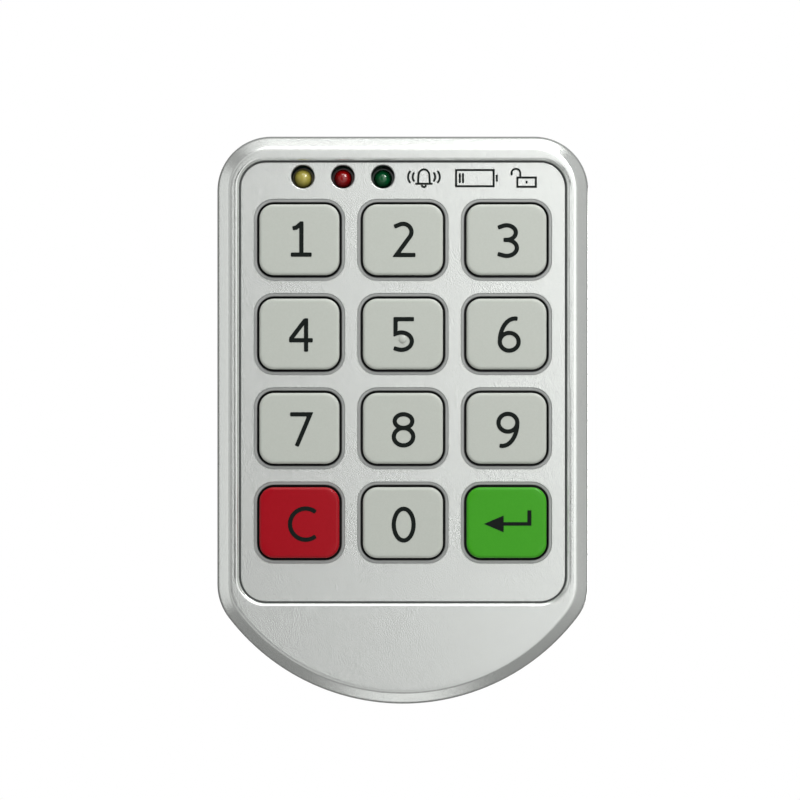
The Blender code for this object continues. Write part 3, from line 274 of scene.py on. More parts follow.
def press_open(profile):
    """Carries the face along a profile and then leaves it out, so that the form ends open."""
    press(profile)
    bpy.ops.mesh.delete(type="ONLY_FACE")


def close_back(made):
    """Fills what is still open."""
    pick(made, "edges", lambda edge: edge.is_boundary)
    bpy.ops.mesh.edge_face_add()


def thickened(made, way, thick, inward=0):
    """Fills a drawn outline and makes it a solid this thick, with sides that may lean inwards."""
    fill_outline(made, way)
    everything("FACE")
    press([(0, 0), (inward, thick)])
    close_back(made)


# %% [markdown]
# ## Finishing a mesh
#
# A closed mesh has every edge between exactly two faces. Shading is the other half: large flat faces should
# look dead flat and the small rounds between them smooth. Marking the flats as strong and letting the
# Weighted Normal modifier work from them does that, and it is applied so that the mesh stays plain.

# %% Joining, copying and shading
def joined(name, parts):
    hold(*parts)
    bpy.ops.object.join()
    made = bpy.context.object
    made.name = name
    return made


def copied(source, name, x, z, y=0, turn=0):
    """A copy with its own mesh, turned about the x axis and moved from the origin."""
    hold(source)
    bpy.ops.object.duplicate(linked=False)
    made = bpy.context.object
    made.name = name
    made.rotation_euler = (turn, 0, 0)
    made.location = (x, y, z)
    bpy.ops.object.transform_apply(location=True, rotation=True, scale=True)
    return made


def fill_level(made, y):
    """Fills the plane between all open loops at one depth."""
    near = MM / 200

    def open_here(edge):
        return edge.is_boundary and all(abs(vert.co.y - y) < near for vert in edge.verts)

    count = pick(made, "edges", open_here)
    bpy.ops.mesh.fill(use_beauty=True)
    print(f"{made.name}: {count} edges filled at y {y / MM:.1f} mm")


def settle(made, angle=38):
    """Points the faces outwards, keeps the flats flat and smooths the rounds."""
    edit(made)
    weld()
    bpy.ops.mesh.normals_make_consistent(inside=False)
    pick(made, "faces", lambda face: max(abs(part) for part in face.normal) > 0.99999)
    bpy.ops.mesh.mod_weighted_strength(set=True, face_strength="STRONG")
    mesh = bmesh.from_edit_mesh(made.data)
    loose = sum(not edge.is_manifold for edge in mesh.edges)
    hold(made)
    bpy.ops.object.shade_smooth_by_angle(angle=math.radians(angle))
    applied(made, "WEIGHTED_NORMAL", keep_sharp=True, use_face_influence=True)
    print(f"{made.name}: {len(made.data.polygons)} faces, {loose} open edges")
    return made


# %% [markdown]
# ## Finishes written as formulas
#
# A finish is a Principled shader with something fed into its colour, its roughness and its normal. Wrapping
# a socket in a small class lets the shader maths be written as Python: each + or * adds a Math node.

# %% A socket that knows arithmetic
class Term:
    """An output socket in a formula."""

    def __init__(self, finish, socket):
        self.finish = finish
        self.socket = socket

    def worked(self, operation, first, second):
        return self.finish.node("ShaderNodeMath", {"operation": operation}, {0: first, 1: second})

    def worked_max(self, other):
        return self.worked("MAXIMUM", self, other)

    def twin(self, output):
        """Another output of the same node."""
        return Term(self.finish, self.socket.node.outputs[output])

    def __add__(self, other):
        return self.worked("ADD", self, other)

    def __radd__(self, other):
        return self.worked("ADD", other, self)

    def __sub__(self, other):
        return self.worked("SUBTRACT", self, other)

    def __rsub__(self, other):
        return self.worked("SUBTRACT", other, self)

    def __mul__(self, other):
        return self.worked("MULTIPLY", self, other)

    def __rmul__(self, other):
        return self.worked("MULTIPLY", other, self)


# %% A node tree
class Wiring:
    """A node tree, with one method that adds any node to it."""

    def __init__(self, tree):
        self.tree = tree

    def node(self, kind, settings=None, values=None, output=0):
        made = self.tree.nodes.new(kind)
        for key, value in (settings or {}).items():
            setattr(made, key, value)
        for key, value in (values or {}).items():
            self.feed(made.inputs[key], value)
        return Term(self, made.outputs[output])

    def feed(self, socket, value):
        if isinstance(value, Term):
            self.tree.links.new(value.socket, socket)
        else:
            socket.default_value = value

    def rise(self, value, low, high):
        """A smooth step from 0 at one value to 1 at another."""
        settings = {"interpolation_type": "SMOOTHSTEP"}
        return self.node("ShaderNodeMapRange", settings, {"Value": value, "From Min": low, "From Max": high})

    def parts_of(self, vector):
        """The X of a vector, whose twins are its Y and its Z."""
        return self.node("ShaderNodeSeparateXYZ", values={"Vector": vector})


# %% A finish
class Finish(Wiring):
    """A material with a Principled shader."""

    def __init__(self, name, **constants):
        self.made = bpy.data.materials.new(name)
        self.made.use_nodes = True
        super().__init__(self.made.node_tree)
        self.shader = self.tree.nodes["Principled BSDF"]
        for key, value in constants.items():
            self.shader.inputs[key.replace("_", " ").title().replace("Ior", "IOR")].default_value = value
        self.place = self.node("ShaderNodeTexCoord", output="Object")

    def noise(self, size, detail=2, roughness=0.5):
        """Soft noise whose spots are about this size across, in metres."""
        values = {"Vector": self.place, "Scale": 1 / size, "Detail": detail, "Roughness": roughness}
        return self.node("ShaderNodeTexNoise", values=values)

    def mixed(self, share, first, second):
        """A colour between two colours."""
        values = {0: share, 6: first, 7: second}
        return self.node("ShaderNodeMix", {"data_type": "RGBA"}, values, output=2)

    def wear(self, **terms):
        """Feeds sockets of the shader that change over the surface."""
        for key, value in terms.items():
            self.feed(self.shader.inputs[key.replace("_", " ").title()], value)

    def bumped(self, height, distance, strength):
        values = {"Height": height, "Distance": distance, "Strength": strength}
        self.feed(self.shader.inputs["Normal"], self.node("ShaderNodeBump", values=values))


def dressed(made, finish, body, slot, *nodes):
    """Gives a piece its finish, its body and the CAD nodes that it stands for."""
    calm()
    made.data.materials.clear()
    made.data.materials.append(finish.made)
    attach(made, body)
    if nodes:
        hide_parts(*nodes)


def colour(red, green, blue):
    """A colour picked on screen from 0 to 255, as the linear light that a shader wants."""

    def linear(value):
        value /= 255
        return value / 12.92 if value <= 0.04045 else ((value + 0.055) / 1.055) ** 2.4

    return (linear(red), linear(green), linear(blue), 1)


# %% [markdown]
# ## The silver paint
#
# The housing is cast zinc with a silver lacquer: fine metal flakes in a satin clear film. Up close the
# flakes show as a fine grain, and the film has a faint orange peel. A mostly metallic shader gives the soft
# sheen, and two sizes of noise give grain and peel. In the gaps round the keys and lamps and in the groove
# round the recess the colour is painted dark grey as shade, and the surface is rougher there. Three steps
# of Object coordinates pick out that place: deeper than the recess floor, and inside the recess's outline.

# %% Silver paint
RECESS_DEPTH = 0.8 * MM
# Where the silver is painted dark as shade: deeper than the recess floor, and inside the recess's outline
SHADE_START_DEPTH = 0.02 * MM
SHADE_FULL_DEPTH = 0.2 * MM
SHADE_HALF_WIDTH = 28.7 * MM
SHADE_LOW = -32.5 * MM
SHADE_HIGH = 45.5 * MM
SHADE_EDGE = 0.1 * MM
floor_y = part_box("front_housing")[0][1] + RECESS_DEPTH

silver = Finish("silver paint", metallic=0.76)
grain = silver.noise(0.22 * MM, 3, 0.7)
peel = silver.noise(1.6 * MM)
place_x = silver.parts_of(silver.place)
place_z = place_x.twin("Z")
off_axis = silver.node("ShaderNodeMath", {"operation": "ABSOLUTE"}, {0: place_x})
# Painted shade: the mask of the gaps and the groove, where the silver is mixed towards dark grey
deep = silver.rise(place_x.twin("Y"), floor_y + SHADE_START_DEPTH, floor_y + SHADE_FULL_DEPTH)
in_width = 1 - silver.rise(off_axis, SHADE_HALF_WIDTH - SHADE_EDGE, SHADE_HALF_WIDTH + SHADE_EDGE)
in_height = silver.rise(place_z, SHADE_LOW - SHADE_EDGE, SHADE_LOW + SHADE_EDGE)
in_height *= 1 - silver.rise(place_z, SHADE_HIGH - SHADE_EDGE, SHADE_HIGH + SHADE_EDGE)
painted_shade_mask = deep * in_width * in_height
lacquer = silver.mixed(grain, colour(216, 219, 215), colour(238, 241, 238))
silver.wear(
    # painted shade: dark grey 84, 86, 86 in the key and lamp gaps and in the groove
    base_color=silver.mixed(painted_shade_mask, lacquer, colour(84, 86, 86)),
    roughness=0.17 + 0.1 * grain + 0.3 * painted_shade_mask,
)
silver.bumped(grain * 1.5 + peel * 0.4, 0.02 * MM, 0.9)

# %% [markdown]
# ## The key paints
#
# Ten caps are a warm grey that is a touch duller than the housing, and the clear and enter keys are red
# and green. More than 0.65 mm behind the face, the cap's sides and flange are painted near black as the
# shade in the gap round each key. Depth is the Y of Object coordinates, which turns the key colour into
# that painted shade.

# %% Key paints
# Painted shade: from this depth back each cap is coloured near black, as the shade in the gap round the key
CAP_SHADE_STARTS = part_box("key_2")[0][1] + 0.65 * MM
CAP_SHADE_FADE = 0.15 * MM


def key_paint(name, dark, light, roughness):
    made = Finish(name, specular_ior_level=0.06, coat_weight=0.28, coat_roughness=0.1)
    fine = made.noise(0.25 * MM, 3, 0.7)
    broad = made.noise(4 * MM)
    # painted shade: the mask where the cap turns near black (26, 26, 28) for the shade in its gap
    cap_shade_mask = made.rise(made.parts_of(made.place).twin("Y"), CAP_SHADE_STARTS, CAP_SHADE_STARTS + CAP_SHADE_FADE)
    made.wear(
        base_color=made.mixed(cap_shade_mask, made.mixed(fine, dark, light), colour(26, 26, 28)),
        roughness=roughness + 0.08 * broad + 0.06 * fine,
    )
    made.bumped(fine, 0.01 * MM, 0.5)
    return made


key_grey = key_paint("key grey", colour(172, 176, 168), colour(183, 187, 180), 0.36)
key_red = key_paint("key red", colour(145, 4, 17), colour(157, 11, 28), 0.34)
key_green = key_paint("key green", colour(52, 142, 22), colour(64, 152, 32), 0.34)
ink = Finish("printing ink", roughness=0.5, specular_ior_level=0.1)
ink.wear(base_color=ink.mixed(ink.noise(0.4 * MM), colour(8, 14, 12), colour(22, 28, 25)))

# %% [markdown]
# ## The housing's outline
#
# Seen from the front the housing is a rectangle with round shoulders and an arched chin, and a small fillet
# runs each straight side into the chin. All of it is arcs and lines that meet at a tangent. Half is drawn
# and mirrored, so both sides are the same.

# %% Sizes of the housing
plate_low, plate_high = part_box("front_housing")
half_width = plate_high[0]
top_z = plate_high[2]
front_y = plate_low[1]

WALL = 2 * MM
FLOOR_THICKNESS = 2 * MM
inner_y = floor_y + FLOOR_THICKNESS
SHOULDER = 9.7 * MM
CHIN_RISE = 18 * MM
CHIN_FILLET = 9.8 * MM
chin_radius = (half_width**2 + CHIN_RISE**2) / (2 * CHIN_RISE)
chin_z = plate_low[2] + chin_radius
fillet_x = half_width - CHIN_FILLET
fillet_z = chin_z - math.sqrt((chin_radius - CHIN_FILLET) ** 2 - fillet_x**2)
blend = math.degrees(math.acos(fillet_x / (chin_radius - CHIN_FILLET)))
print(f"housing {2 * half_width / MM:.1f} mm wide, chin radius {chin_radius / MM:.1f} mm")


def plate_face(name, y, inset, way):
    """The housing's outline, moved inwards, as one face."""
    made = pen(name, 0, y, top_z - inset)
    line(half_width - SHOULDER, 0)
    swing(half_width - SHOULDER, top_z - SHOULDER, 90, 20)
    line(0, fillet_z - top_z + SHOULDER)
    swing(fillet_x, fillet_z, blend, 10)
    swing(0, chin_z, 90 - blend, 26)
    applied(made, "MIRROR", merge_threshold=WELD)
    edit(made)
    fill_outline(made, way)
    return made


# %% [markdown]
# ## The housing as a casting
#
# The casting's walls lean in by a hair so that it leaves its die, its front edge is cut at a slant, and the
# recess for the keys is pressed 0.8 mm deep. The form is built as open shells: the outside, the inside, the
# recess, and a short tube through the floor for each key and each lamp. Then the flat areas between their
# open loops are filled, which leaves one closed skin with a real wall thickness. A narrow groove runs at
# the foot of the recess's wall.

# %% Outside, inside and recess
EDGE_ROUND = 0.6 * MM
edge_profile = in_mm((0, 0), (0.35, 15.2), (2.5, 17), (3.5, 17))
outside = plate_face("outside", 0, 0, -1)
press_open(soft(edge_profile, EDGE_ROUND, 6))

inside = plate_face("inside", 0, 0, 1)
press_open([(0, 0), (WALL, 0), (WALL, inner_y)])

RECESS_TOP = top_z - 5.05 * MM
RECESS_WIDTH = 55.8 * MM
RECESS_HEIGHT = 75.65 * MM
RECESS_RADIUS = 4.2 * MM
RECESS_WALL = 1.2 * MM
recess = rounded_face(
    "recess",
    RECESS_WIDTH + 2 * RECESS_WALL,
    RECESS_HEIGHT + 2 * RECESS_WALL,
    RECESS_RADIUS + RECESS_WALL,
    front_y,
    z=RECESS_TOP - RECESS_HEIGHT / 2,
    steps=12,
)
roll = rolled(0.25 * MM, 0, 0.52 * MM, 0.8 / 0.85 * MM, [8.6 * step for step in range(1, 11)])
groove = in_mm((0.8, -1), (1, -0.98), (1.12, -0.82)) + [(RECESS_WALL, -RECESS_DEPTH)]
press_open([(0, 0), (0.25 * MM, 0)] + roll + groove)

# %% [markdown]
# ## Key openings and lamp holes
#
# Round each opening the floor steps down a little and then rolls over into the gap, which is what catches
# the light and the shade round every key. One opening is modelled and copied to the twelve places.

# %% Openings, holes and posts
KEY_ROWS = ("123", "456", "789", "C0E")
PITCH_X = 17.9 * MM
PITCH_Z = 16.3 * MM
OPENING_WIDTH = 14.45 * MM
OPENING_HEIGHT = 12.85 * MM
OPENING_RADIUS = 2.8 * MM
STEP_WIDTH = 0.68 * MM
STEP_DEPTH = 0.12 * MM
STEP_SLANT = 0.1 * MM
LIP_RADIUS = 0.22 * MM
first_z = RECESS_TOP - 13.25 * MM
key_places = {
    sign: ((column - 1) * PITCH_X, first_z - row * PITCH_Z)
    for row, signs in enumerate(KEY_ROWS)
    for column, sign in enumerate(signs)
}


def opening_face(name, grow, y, steps):
    """A key opening's outline, this much larger all round, at the middle of the door."""
    width = OPENING_WIDTH + 2 * grow
    return rounded_face(name, width, OPENING_HEIGHT + 2 * grow, OPENING_RADIUS + grow, y, steps=steps)


first_opening = opening_face("opening", STEP_WIDTH, floor_y, 8)
lip_start = STEP_WIDTH - LIP_RADIUS
step = [(0, 0), (STEP_SLANT, -STEP_DEPTH), (lip_start, -STEP_DEPTH)]
lip = rolled(lip_start, -STEP_DEPTH, LIP_RADIUS, LIP_RADIUS, range(15, 91, 15))
press_open(step + lip + [(STEP_WIDTH, -FLOOR_THICKNESS)])
openings = [copied(first_opening, "opening", x, z) for x, z in key_places.values()]
bpy.data.objects.remove(first_opening)

LAMP_Z = RECESS_TOP - 2.32 * MM
LAMP_PITCH = 6.92 * MM
FIRST_LAMP_X = -17.3 * MM
HOLE_RADIUS = 2.22 * MM
lamp_xs = [FIRST_LAMP_X + number * LAMP_PITCH for number in range(3)]
hole_profile = soft(in_mm((0, 0), (0.04, 0), (0.22, -0.16), (0.22, -2)), 0.06 * MM, 3)
holes = []
for x in lamp_xs:
    holes.append(disc("hole", HOLE_RADIUS, x, floor_y, LAMP_Z, 48))
    press_open(hole_profile)

POST_RADIUS = 2.6 * MM
post_places = [(side * x * MM, z * MM) for x, z in ((24, 42), (20, -29)) for side in (-1, 1)]
posts = []
for x, z in post_places:
    posts.append(disc("post", POST_RADIUS, x, inner_y, z, 32, 1))
    press(in_mm((0, 0), (0, 4.8), (1.1, 4.8), (1.1, 0.6)))

housing = joined("housing_shell", [outside, inside, recess, *openings, *holes, *posts])
edit(housing)
weld()
for level in (front_y, floor_y, inner_y):
    fill_level(housing, level)
settle(housing, 32)
dressed(housing, silver, "lock_body", "silver_paint", "front_housing")

# %% [markdown]
# ## The keys
#
# A key cap has a flange that stops behind the opening, straight sides and a softly rounded rim round a flat
# face. One cap is modelled and copied to all twelve openings.

# %% Key caps
CAP_FLANGE = 0.9 * MM
cap_profile = soft(in_mm((1.21, 1), (1.21, 4.2), (2.5, 4.2)), 0.58 * MM, 8)
first_cap = opening_face("cap", CAP_FLANGE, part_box("key_2")[1][1], 10)
press(in_mm((0, 0), (0, 1)) + cap_profile)
close_back(first_cap)
settle(first_cap, 40)

key_finishes = {"C": (key_red, "key_red"), "E": (key_green, "key_green")}


def key_node(sign):
    """The CAD node of the key with this sign."""
    return {"C": "key_clear", "E": "key_enter"}.get(sign, f"key_{sign}")


for sign, (x, z) in key_places.items():
    node = key_node(sign)
    finish, slot = key_finishes.get(sign, (key_grey, "key_grey"))
    dressed(copied(first_cap, f"{node}_cap", x, z), finish, node, slot, node)
bpy.data.objects.remove(first_cap)

# %% The touch pip
KEY_PROUD = 0.9 * MM
PIP_RADIUS = 0.7 * MM
PIP_HEIGHT = 0.3 * MM
PIP_SINK = 0.1 * MM
PIP_DROP = 0.9 * MM
face_y = floor_y - KEY_PROUD
pip_x, pip_z = key_places["5"]
pip = disc("key_5_pip", PIP_RADIUS, pip_x, face_y + PIP_SINK, pip_z - PIP_DROP, 24)
press([(0, 0)] + domed(0, PIP_SINK, PIP_RADIUS, PIP_HEIGHT, range(0, 90, 15)))
close_back(pip)
settle(pip, 60)
dressed(pip, key_grey, "key_5", "key_grey")

# %% [markdown]
# ## The printed signs
#
# The signs are printed in black with a plain upright stroke. The font that comes with Blender draws another
# 1 and a wider C, so each sign is drawn as its strokes: the pen draws the middle line, the line is raised
# into a low wall, and the Solidify modifier makes the wall as wide as the stroke. A sign of several strokes
# is joined by Booleans. The ink stands a few hundredths of a millimetre proud, as screen printing does. In
# the tables each sign has its place first, and then its strokes.

# %% Strokes
INK_DEPTH = 0.04 * MM
INK_SINK = 0.02 * MM
ARC_STEP = 11


def traced(path):
    """Points, in millimetres, through places (x, z) and along ovals (x, z, wide, high, start, end)."""
    points = []
    for x, z, *oval in path:
        if not oval:
            points.append((x, z))
            continue
        wide, high, start, end = oval
        steps = math.ceil(abs(end - start) / ARC_STEP)
        for step in range(steps + 1):
            turn = math.radians(start + (end - start) * step / steps)
            points.append((x + wide * math.cos(turn), z + high * math.sin(turn)))
    return points


def stroke(name, path, width, x, z, y):
    """One stroke of ink on a surface that faces the front."""
    points = [(x + px * MM, z + pz * MM) for px, pz in traced(path)]
    made = pen(name, points[0][0], y + INK_SINK, points[0][1])
    through(points)
    weld()
    line(0, 0, -INK_SINK - INK_DEPTH)
    everything()
    bpy.ops.mesh.normals_make_consistent(inside=False)
    applied(made, "SOLIDIFY", thickness=width * MM, offset=0, use_even_offset=True)
    edit(made)
    everything()
    bpy.ops.mesh.normals_make_consistent(inside=False)

    def upright_corner(item):
        along = abs(item.verts[0].co.y - item.verts[1].co.y)
        return along > INK_DEPTH / 2 and item.calc_face_angle(0) > 0.9

    if pick(made, "edges", upright_corner):
        bpy.ops.mesh.bevel(offset=0.24 * width * MM, segments=3, affect="EDGES")
    calm()
    return made


def joined_by_boolean(made, tool, operation):
    applied(made, "BOOLEAN", operation=operation, solver="EXACT", object=tool)
    bpy.data.objects.remove(tool)


def sign_of(name, strokes, width, x, z, y):
    """A sign of one or more strokes, as one closed solid."""
    made, *others = [stroke(name, path, width, x, z, y) for path in strokes]
    for other in others:
        joined_by_boolean(made, other, "UNION")
    made.name = name
    return settle(made, 30)


# %% The digits and the C
DIGIT_STROKE = 0.74
DIGITS = {
    "1": (
        0.34, 0.1,
        [(0.03, 3.05), (0.03, -2.69)],
        [(-1.5, 1.86), (-0.85, 1.98), (-0.05, 2.68)],
        [(-1.81, -2.69), (1.81, -2.69)],
    ),
    "2": (0.18, 0.03, [(-1.68, 2.2), (-0.15, 1.3, 1.45, 1.4, 118, -38), (-1.3, -2.68), (2.0, -2.68)]),
    "3": (
        0.31, -0.18,
        [(-1.8, 2.24), (-0.3, 1.4, 1.6, 1.26, 116, -90), (-0.85, 0.14)],
        [(-0.55, 0.13), (-0.28, -1.25, 1.76, 1.38, 90, -115), (-1.85, -2.28)],
    ),
    "4": (
        0.22, -0.17,
        [(0.96, 2.89), (0.96, -2.89)],
        [(0.84, 2.62), (-1.75, -0.78)],
        [(-1.98, -0.91), (2.13, -0.91)],
    ),
    "5": (
        0, -0.09,
        [(1.93, 2.66), (-1.27, 2.66), (-1.27, 0.12), (-0.25, -1.15, 1.8, 1.5, 112, -112), (-1.6, -2.35)],
    ),
    "6": (0.47, -0.09, [(1.0, -1.2, 2.63, 3.97, 80, 180)], [(0, -1.25, 1.63, 1.53, 0, 360)]),
    "7": (0.38, -0.17, [(-1.96, 2.6), (1.5, 2.6), (-0.82, -2.91)]),
    "8": (0.11, -0.24, [(0, 1.5, 1.52, 1.18, -90, 270)], [(0, -1.2, 1.68, 1.5, 90, 450)]),
    "9": (0.24, -0.27, [(-1.0, 1.2, 2.63, 3.97, 0, -100)], [(0, 1.25, 1.63, 1.53, 180, 540)]),
    "0": (0.14, -0.32, [(0, 0, 1.71, 2.74, 90, 450)]),
    "C": (0.48, -0.24, [(0.62, 0, 2.7, 2.7, 50, 310)]),
}
for sign, (dx, dz, *strokes) in DIGITS.items():
    x, z = key_places[sign]
    made = sign_of(f"sign_{sign}", strokes, DIGIT_STROKE, x + dx * MM, z + dz * MM, face_y)
    dressed(made, ink, key_node(sign), "black_plastic")


# %% The enter arrow
ARROW_STEPS = (
    (3.4, 1.45), (0, -1.15), (4.1, 0), (0, 2.05), (0.7, 0), (0, -2.65), (-4.8, 0), (0, -1.15), (-3.4, 1.45)
)
enter_x, enter_z = key_places["E"]
arrow = pen("sign_enter", enter_x - 3.9 * MM, face_y + INK_SINK, enter_z - 0.2 * MM)
strides(ARROW_STEPS)
thickened(arrow, -1, INK_SINK + INK_DEPTH)
settle(arrow, 30)
dressed(arrow, ink, "key_enter", "black_plastic")

# %% [markdown]
# ## Signs beside the lamps
#
# Plain pictograms say what the three lamps are for: a bell, a low battery and an open padlock. They are
# drawn with the same strokes, only thinner, and printed on the floor of the recess.

# %% Bell, battery and padlock
ICON_STROKE = 0.36
ICON_Z = LAMP_Z - 0.25 * MM
ICONS = {
    "sign_alarm": (
        3.64,
        [(-1.5, -0.98), (1.5, -0.98)],
        [(-1.02, -0.95), (0, 0.45, 0.95, 1.05, 180, 0), (1.02, -0.95)],
        [(0, -1.12, 0.38, 0.42, 190, 350)],
        [(0, 0.2, 1.95, 1.5, 148, 212)],
        [(0, 0.2, 1.95, 1.5, -32, 32)],
        [(0, 0.2, 2.75, 2.0, 148, 212)],
        [(0, 0.2, 2.75, 2.0, -32, 32)],
    ),
    "sign_low_battery": (
        12.6,
        [(-3.4, 0), (-3.4, 1.4), (3.1, 1.4), (3.1, -1.4), (-3.4, -1.4), (-3.4, 0)],
        [(3.65, 0.6), (3.65, -0.6)],
        [(-2.75, 0.85), (-2.75, -0.85)],
        [(-2.2, 0.85), (-2.2, -0.85)],
    ),
    "sign_open": (
        21.2,
        [(0.2, -1.5), (-1.4, -1.5), (-1.4, 0.1), (1.8, 0.1), (1.8, -1.5), (0.2, -1.5)],
        [(0.2, -0.45), (0.2, -0.95)],
        [(-0.9, 0.1), (-0.9, 0.7), (-1.65, 0.9, 0.75, 0.7, 0, 180), (-2.4, 0.45)],
    ),
}
for name, (x, *strokes) in ICONS.items():
    made = sign_of(name, strokes, ICON_STROKE, x * MM, ICON_Z, floor_y)
    dressed(made, ink, "lock_body", "black_plastic")

# %% [markdown]
# ## The lamps
#
# Three 3 mm lamps sit a little below the floor in round holes. A lamp is a cast epoxy bullet: a flange, a
# short cylinder and a dome. The same profile trick makes it, this time from a disc. Two thin legs carry it
# on the board.

# %% Lamp lenses
LENS_RADIUS = 1.6 * MM
LENS_DROP = 0.22 * MM
LAMP_HEIGHT = 4.8 * MM
FLANGE_STEP = 0.35 * MM
FLANGE_HEIGHT = 0.9 * MM
LEG_SIDE = 0.5 * MM
LEG_RADIUS = 0.1 * MM
LEG_PLACE = 1.27 * MM
LEG_OVERRUN = 0.3 * MM
leg_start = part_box("key_board")[0][1] - LEG_OVERRUN


def lens_finish(name, deep, light):
    made = Finish(name, roughness=0.12, coat_weight=0.6, coat_roughness=0.05, ior=1.5)
    made.wear(base_color=made.mixed(made.noise(1.2 * MM, 1), deep, light))
    return made


def lamp_lens(node, x, tip_y):
    """The cast lens: a flange, a short cylinder and a dome."""
    base_y = tip_y + LAMP_HEIGHT
    made = disc(f"{node}_lens", LENS_RADIUS + FLANGE_STEP, x, base_y, LAMP_Z - LENS_DROP)
    straight = LAMP_HEIGHT - LENS_RADIUS
    flange = [(0, 0), (0, FLANGE_HEIGHT), (FLANGE_STEP, FLANGE_HEIGHT), (FLANGE_STEP, straight)]
    degrees = [7.5 * step for step in range(1, 12)]
    press(flange + domed(FLANGE_STEP, straight, LENS_RADIUS, LENS_RADIUS, degrees))
    close_back(made)
    return settle(made, 50)


def lamp_legs(node, x, tip_y):
    """Two square legs, from the board into the flange."""
    legs = []
    for side in (-LEG_PLACE, LEG_PLACE):
        legs.append(
            rounded_face("leg", LEG_SIDE, LEG_SIDE, LEG_RADIUS, leg_start, x + side, LAMP_Z - LENS_DROP, 2)
        )
        press([(0, 0), (0, leg_start - tip_y - LAMP_HEIGHT + LEG_OVERRUN)])
        close_back(legs[-1])
    return settle(joined(f"{node}_legs", legs), 30)


tin = Finish("tinned wire", metallic=1.0)
tin.wear(
    base_color=tin.mixed(tin.noise(0.6 * MM), colour(176, 176, 172), colour(206, 206, 200)),
    roughness=0.3 + 0.15 * tin.noise(0.3 * MM),
)
LENSES = (
    ("yellow_lamp", lens_finish("yellow lens", colour(140, 130, 52), colour(176, 166, 78)), 0.4),
    ("red_lamp", lens_finish("red lens", colour(110, 0, 0), colour(150, 4, 6)), 0.6),
    ("green_lamp", lens_finish("green lens", colour(0, 60, 28), colour(0, 96, 48)), 1.2),
)
for x, (node, finish, drop) in zip(lamp_xs, LENSES):
    tip_y = floor_y + drop * MM
    dressed(lamp_lens(node, x, tip_y), finish, "lock_body", node.replace("lamp", "lens"), node)
    dressed(lamp_legs(node, x, tip_y), tin, "lock_body", "steel")

# %% [markdown]
# ## Finishes behind the face
#
# Behind the painted housing the lock shows its bare materials: cast zinc, zinc-plated steel, brass, moulded
# plastics, solder mask and silicone. Each gets a colour that drifts a little, a roughness that does too,
# and a bump at the scale of its real surface.

# %% Metals
def metal(name, dark, light, roughness, size):
    made = Finish(name, metallic=1.0)
    fine = made.noise(size, 3, 0.6)
    made.wear(base_color=made.mixed(made.noise(size * 9), dark, light), roughness=roughness + 0.14 * fine)
    made.bumped(fine, size / 25, 0.6)
    return made


zinc = metal("cast zinc", colour(168, 171, 174), colour(190, 192, 194), 0.36, 0.5 * MM)
steel = metal("plated steel", colour(188, 190, 192), colour(214, 216, 217), 0.2, 0.3 * MM)
brass = metal("brass", colour(190, 154, 84), colour(212, 180, 112), 0.2, 0.3 * MM)


# %% Plastics
def plastic(name, dark, light, roughness, size, **constants):
    made = Finish(name, **constants)
    fine = made.noise(size, 3, 0.6)
    made.wear(base_color=made.mixed(made.noise(size * 12), dark, light), roughness=roughness + 0.12 * fine)
    made.bumped(fine, size / 12, 0.8)
    return made


case_grey = plastic("case plastic", colour(118, 121, 121), colour(128, 131, 131), 0.44, 0.35 * MM)
black_plastic = plastic("black plastic", colour(22, 22, 24), colour(32, 32, 34), 0.36, 0.4 * MM)
nylon = plastic("white nylon", colour(222, 220, 212), colour(234, 232, 226), 0.34, 0.6 * MM)
silicone = plastic(
    "silicone", colour(92, 93, 95), colour(104, 105, 107), 0.56, 0.8 * MM, specular_ior_level=0.35
)

# %% Solder mask with tracks under it
TRACK_CELL = 3.5 * MM
mask = Finish("solder mask", coat_weight=0.4, coat_roughness=0.15)
between_tracks = mask.node(
    "ShaderNodeTexVoronoi",
    {"feature": "DISTANCE_TO_EDGE"},
    {"Vector": mask.place, "Scale": 1 / TRACK_CELL, "Randomness": 0.7},
)
track = 1 - mask.rise(between_tracks, 0.05, 0.08)
mask.wear(
    base_color=mask.mixed(track, colour(14, 78, 44), colour(30, 112, 66)),
    roughness=0.3 + 0.12 * mask.noise(0.6 * MM),
)
mask.bumped(track, 0.04 * MM, 0.8)

# %% [markdown]
# ## Solids of an outline
#
# The works are built from plates and pins. Each is an outline with a depth, so two helpers are enough: a
# slab from a rounded rectangle and a pillar from a disc. Both start at the door's side and grow towards the
# room inside, along a profile. Where shapes are cut from one another, a Boolean modifier does it and is
# applied.

# %% Slabs, pillars and cuts
def slab(name, width, height, radius, y, thick, x=0, z=0):
    """A plate with round corners, from a depth towards the room inside."""
    made = rounded_face(name, width, height, radius, y, x, z, 6, 1)
    press([(0, 0), (0, thick)])
    close_back(made)
    calm()
    return made


def pillar(name, radius, y, profile, x=0, z=0, sides=40):
    """A round form along the depth, carried along a profile."""
    made = disc(name, radius, x, y, z, sides, 1)
    press(profile)
    close_back(made)
    calm()
    return made


def outward(made):
    """All faces point outwards, which a Boolean needs."""
    edit(made)
    weld()
    bpy.ops.mesh.normals_make_consistent(inside=False)
    calm()
    return made


def cut_from(made, *tools):
    for tool in tools:
        joined_by_boolean(made, outward(tool), "DIFFERENCE")


def added_to(made, *tools):
    for tool in tools:
        joined_by_boolean(made, outward(tool), "UNION")


def rounded(made, width, angle):
    """Breaks the edges that are sharper than an angle."""
    applied(
        made, "BEVEL", width=width, segments=2, limit_method="ANGLE",
        angle_limit=math.radians(angle), use_clamp_overlap=True,
    )


# %% [markdown]
# ## The back plate
#
# A cast plate closes the housing from behind and lies on the door. It has four columns that clamp the
# keypad board, two bosses that take the long screws, and a hole for the wires. As in the housing, open
# shells are drawn first, and the flats between their loops are filled last.

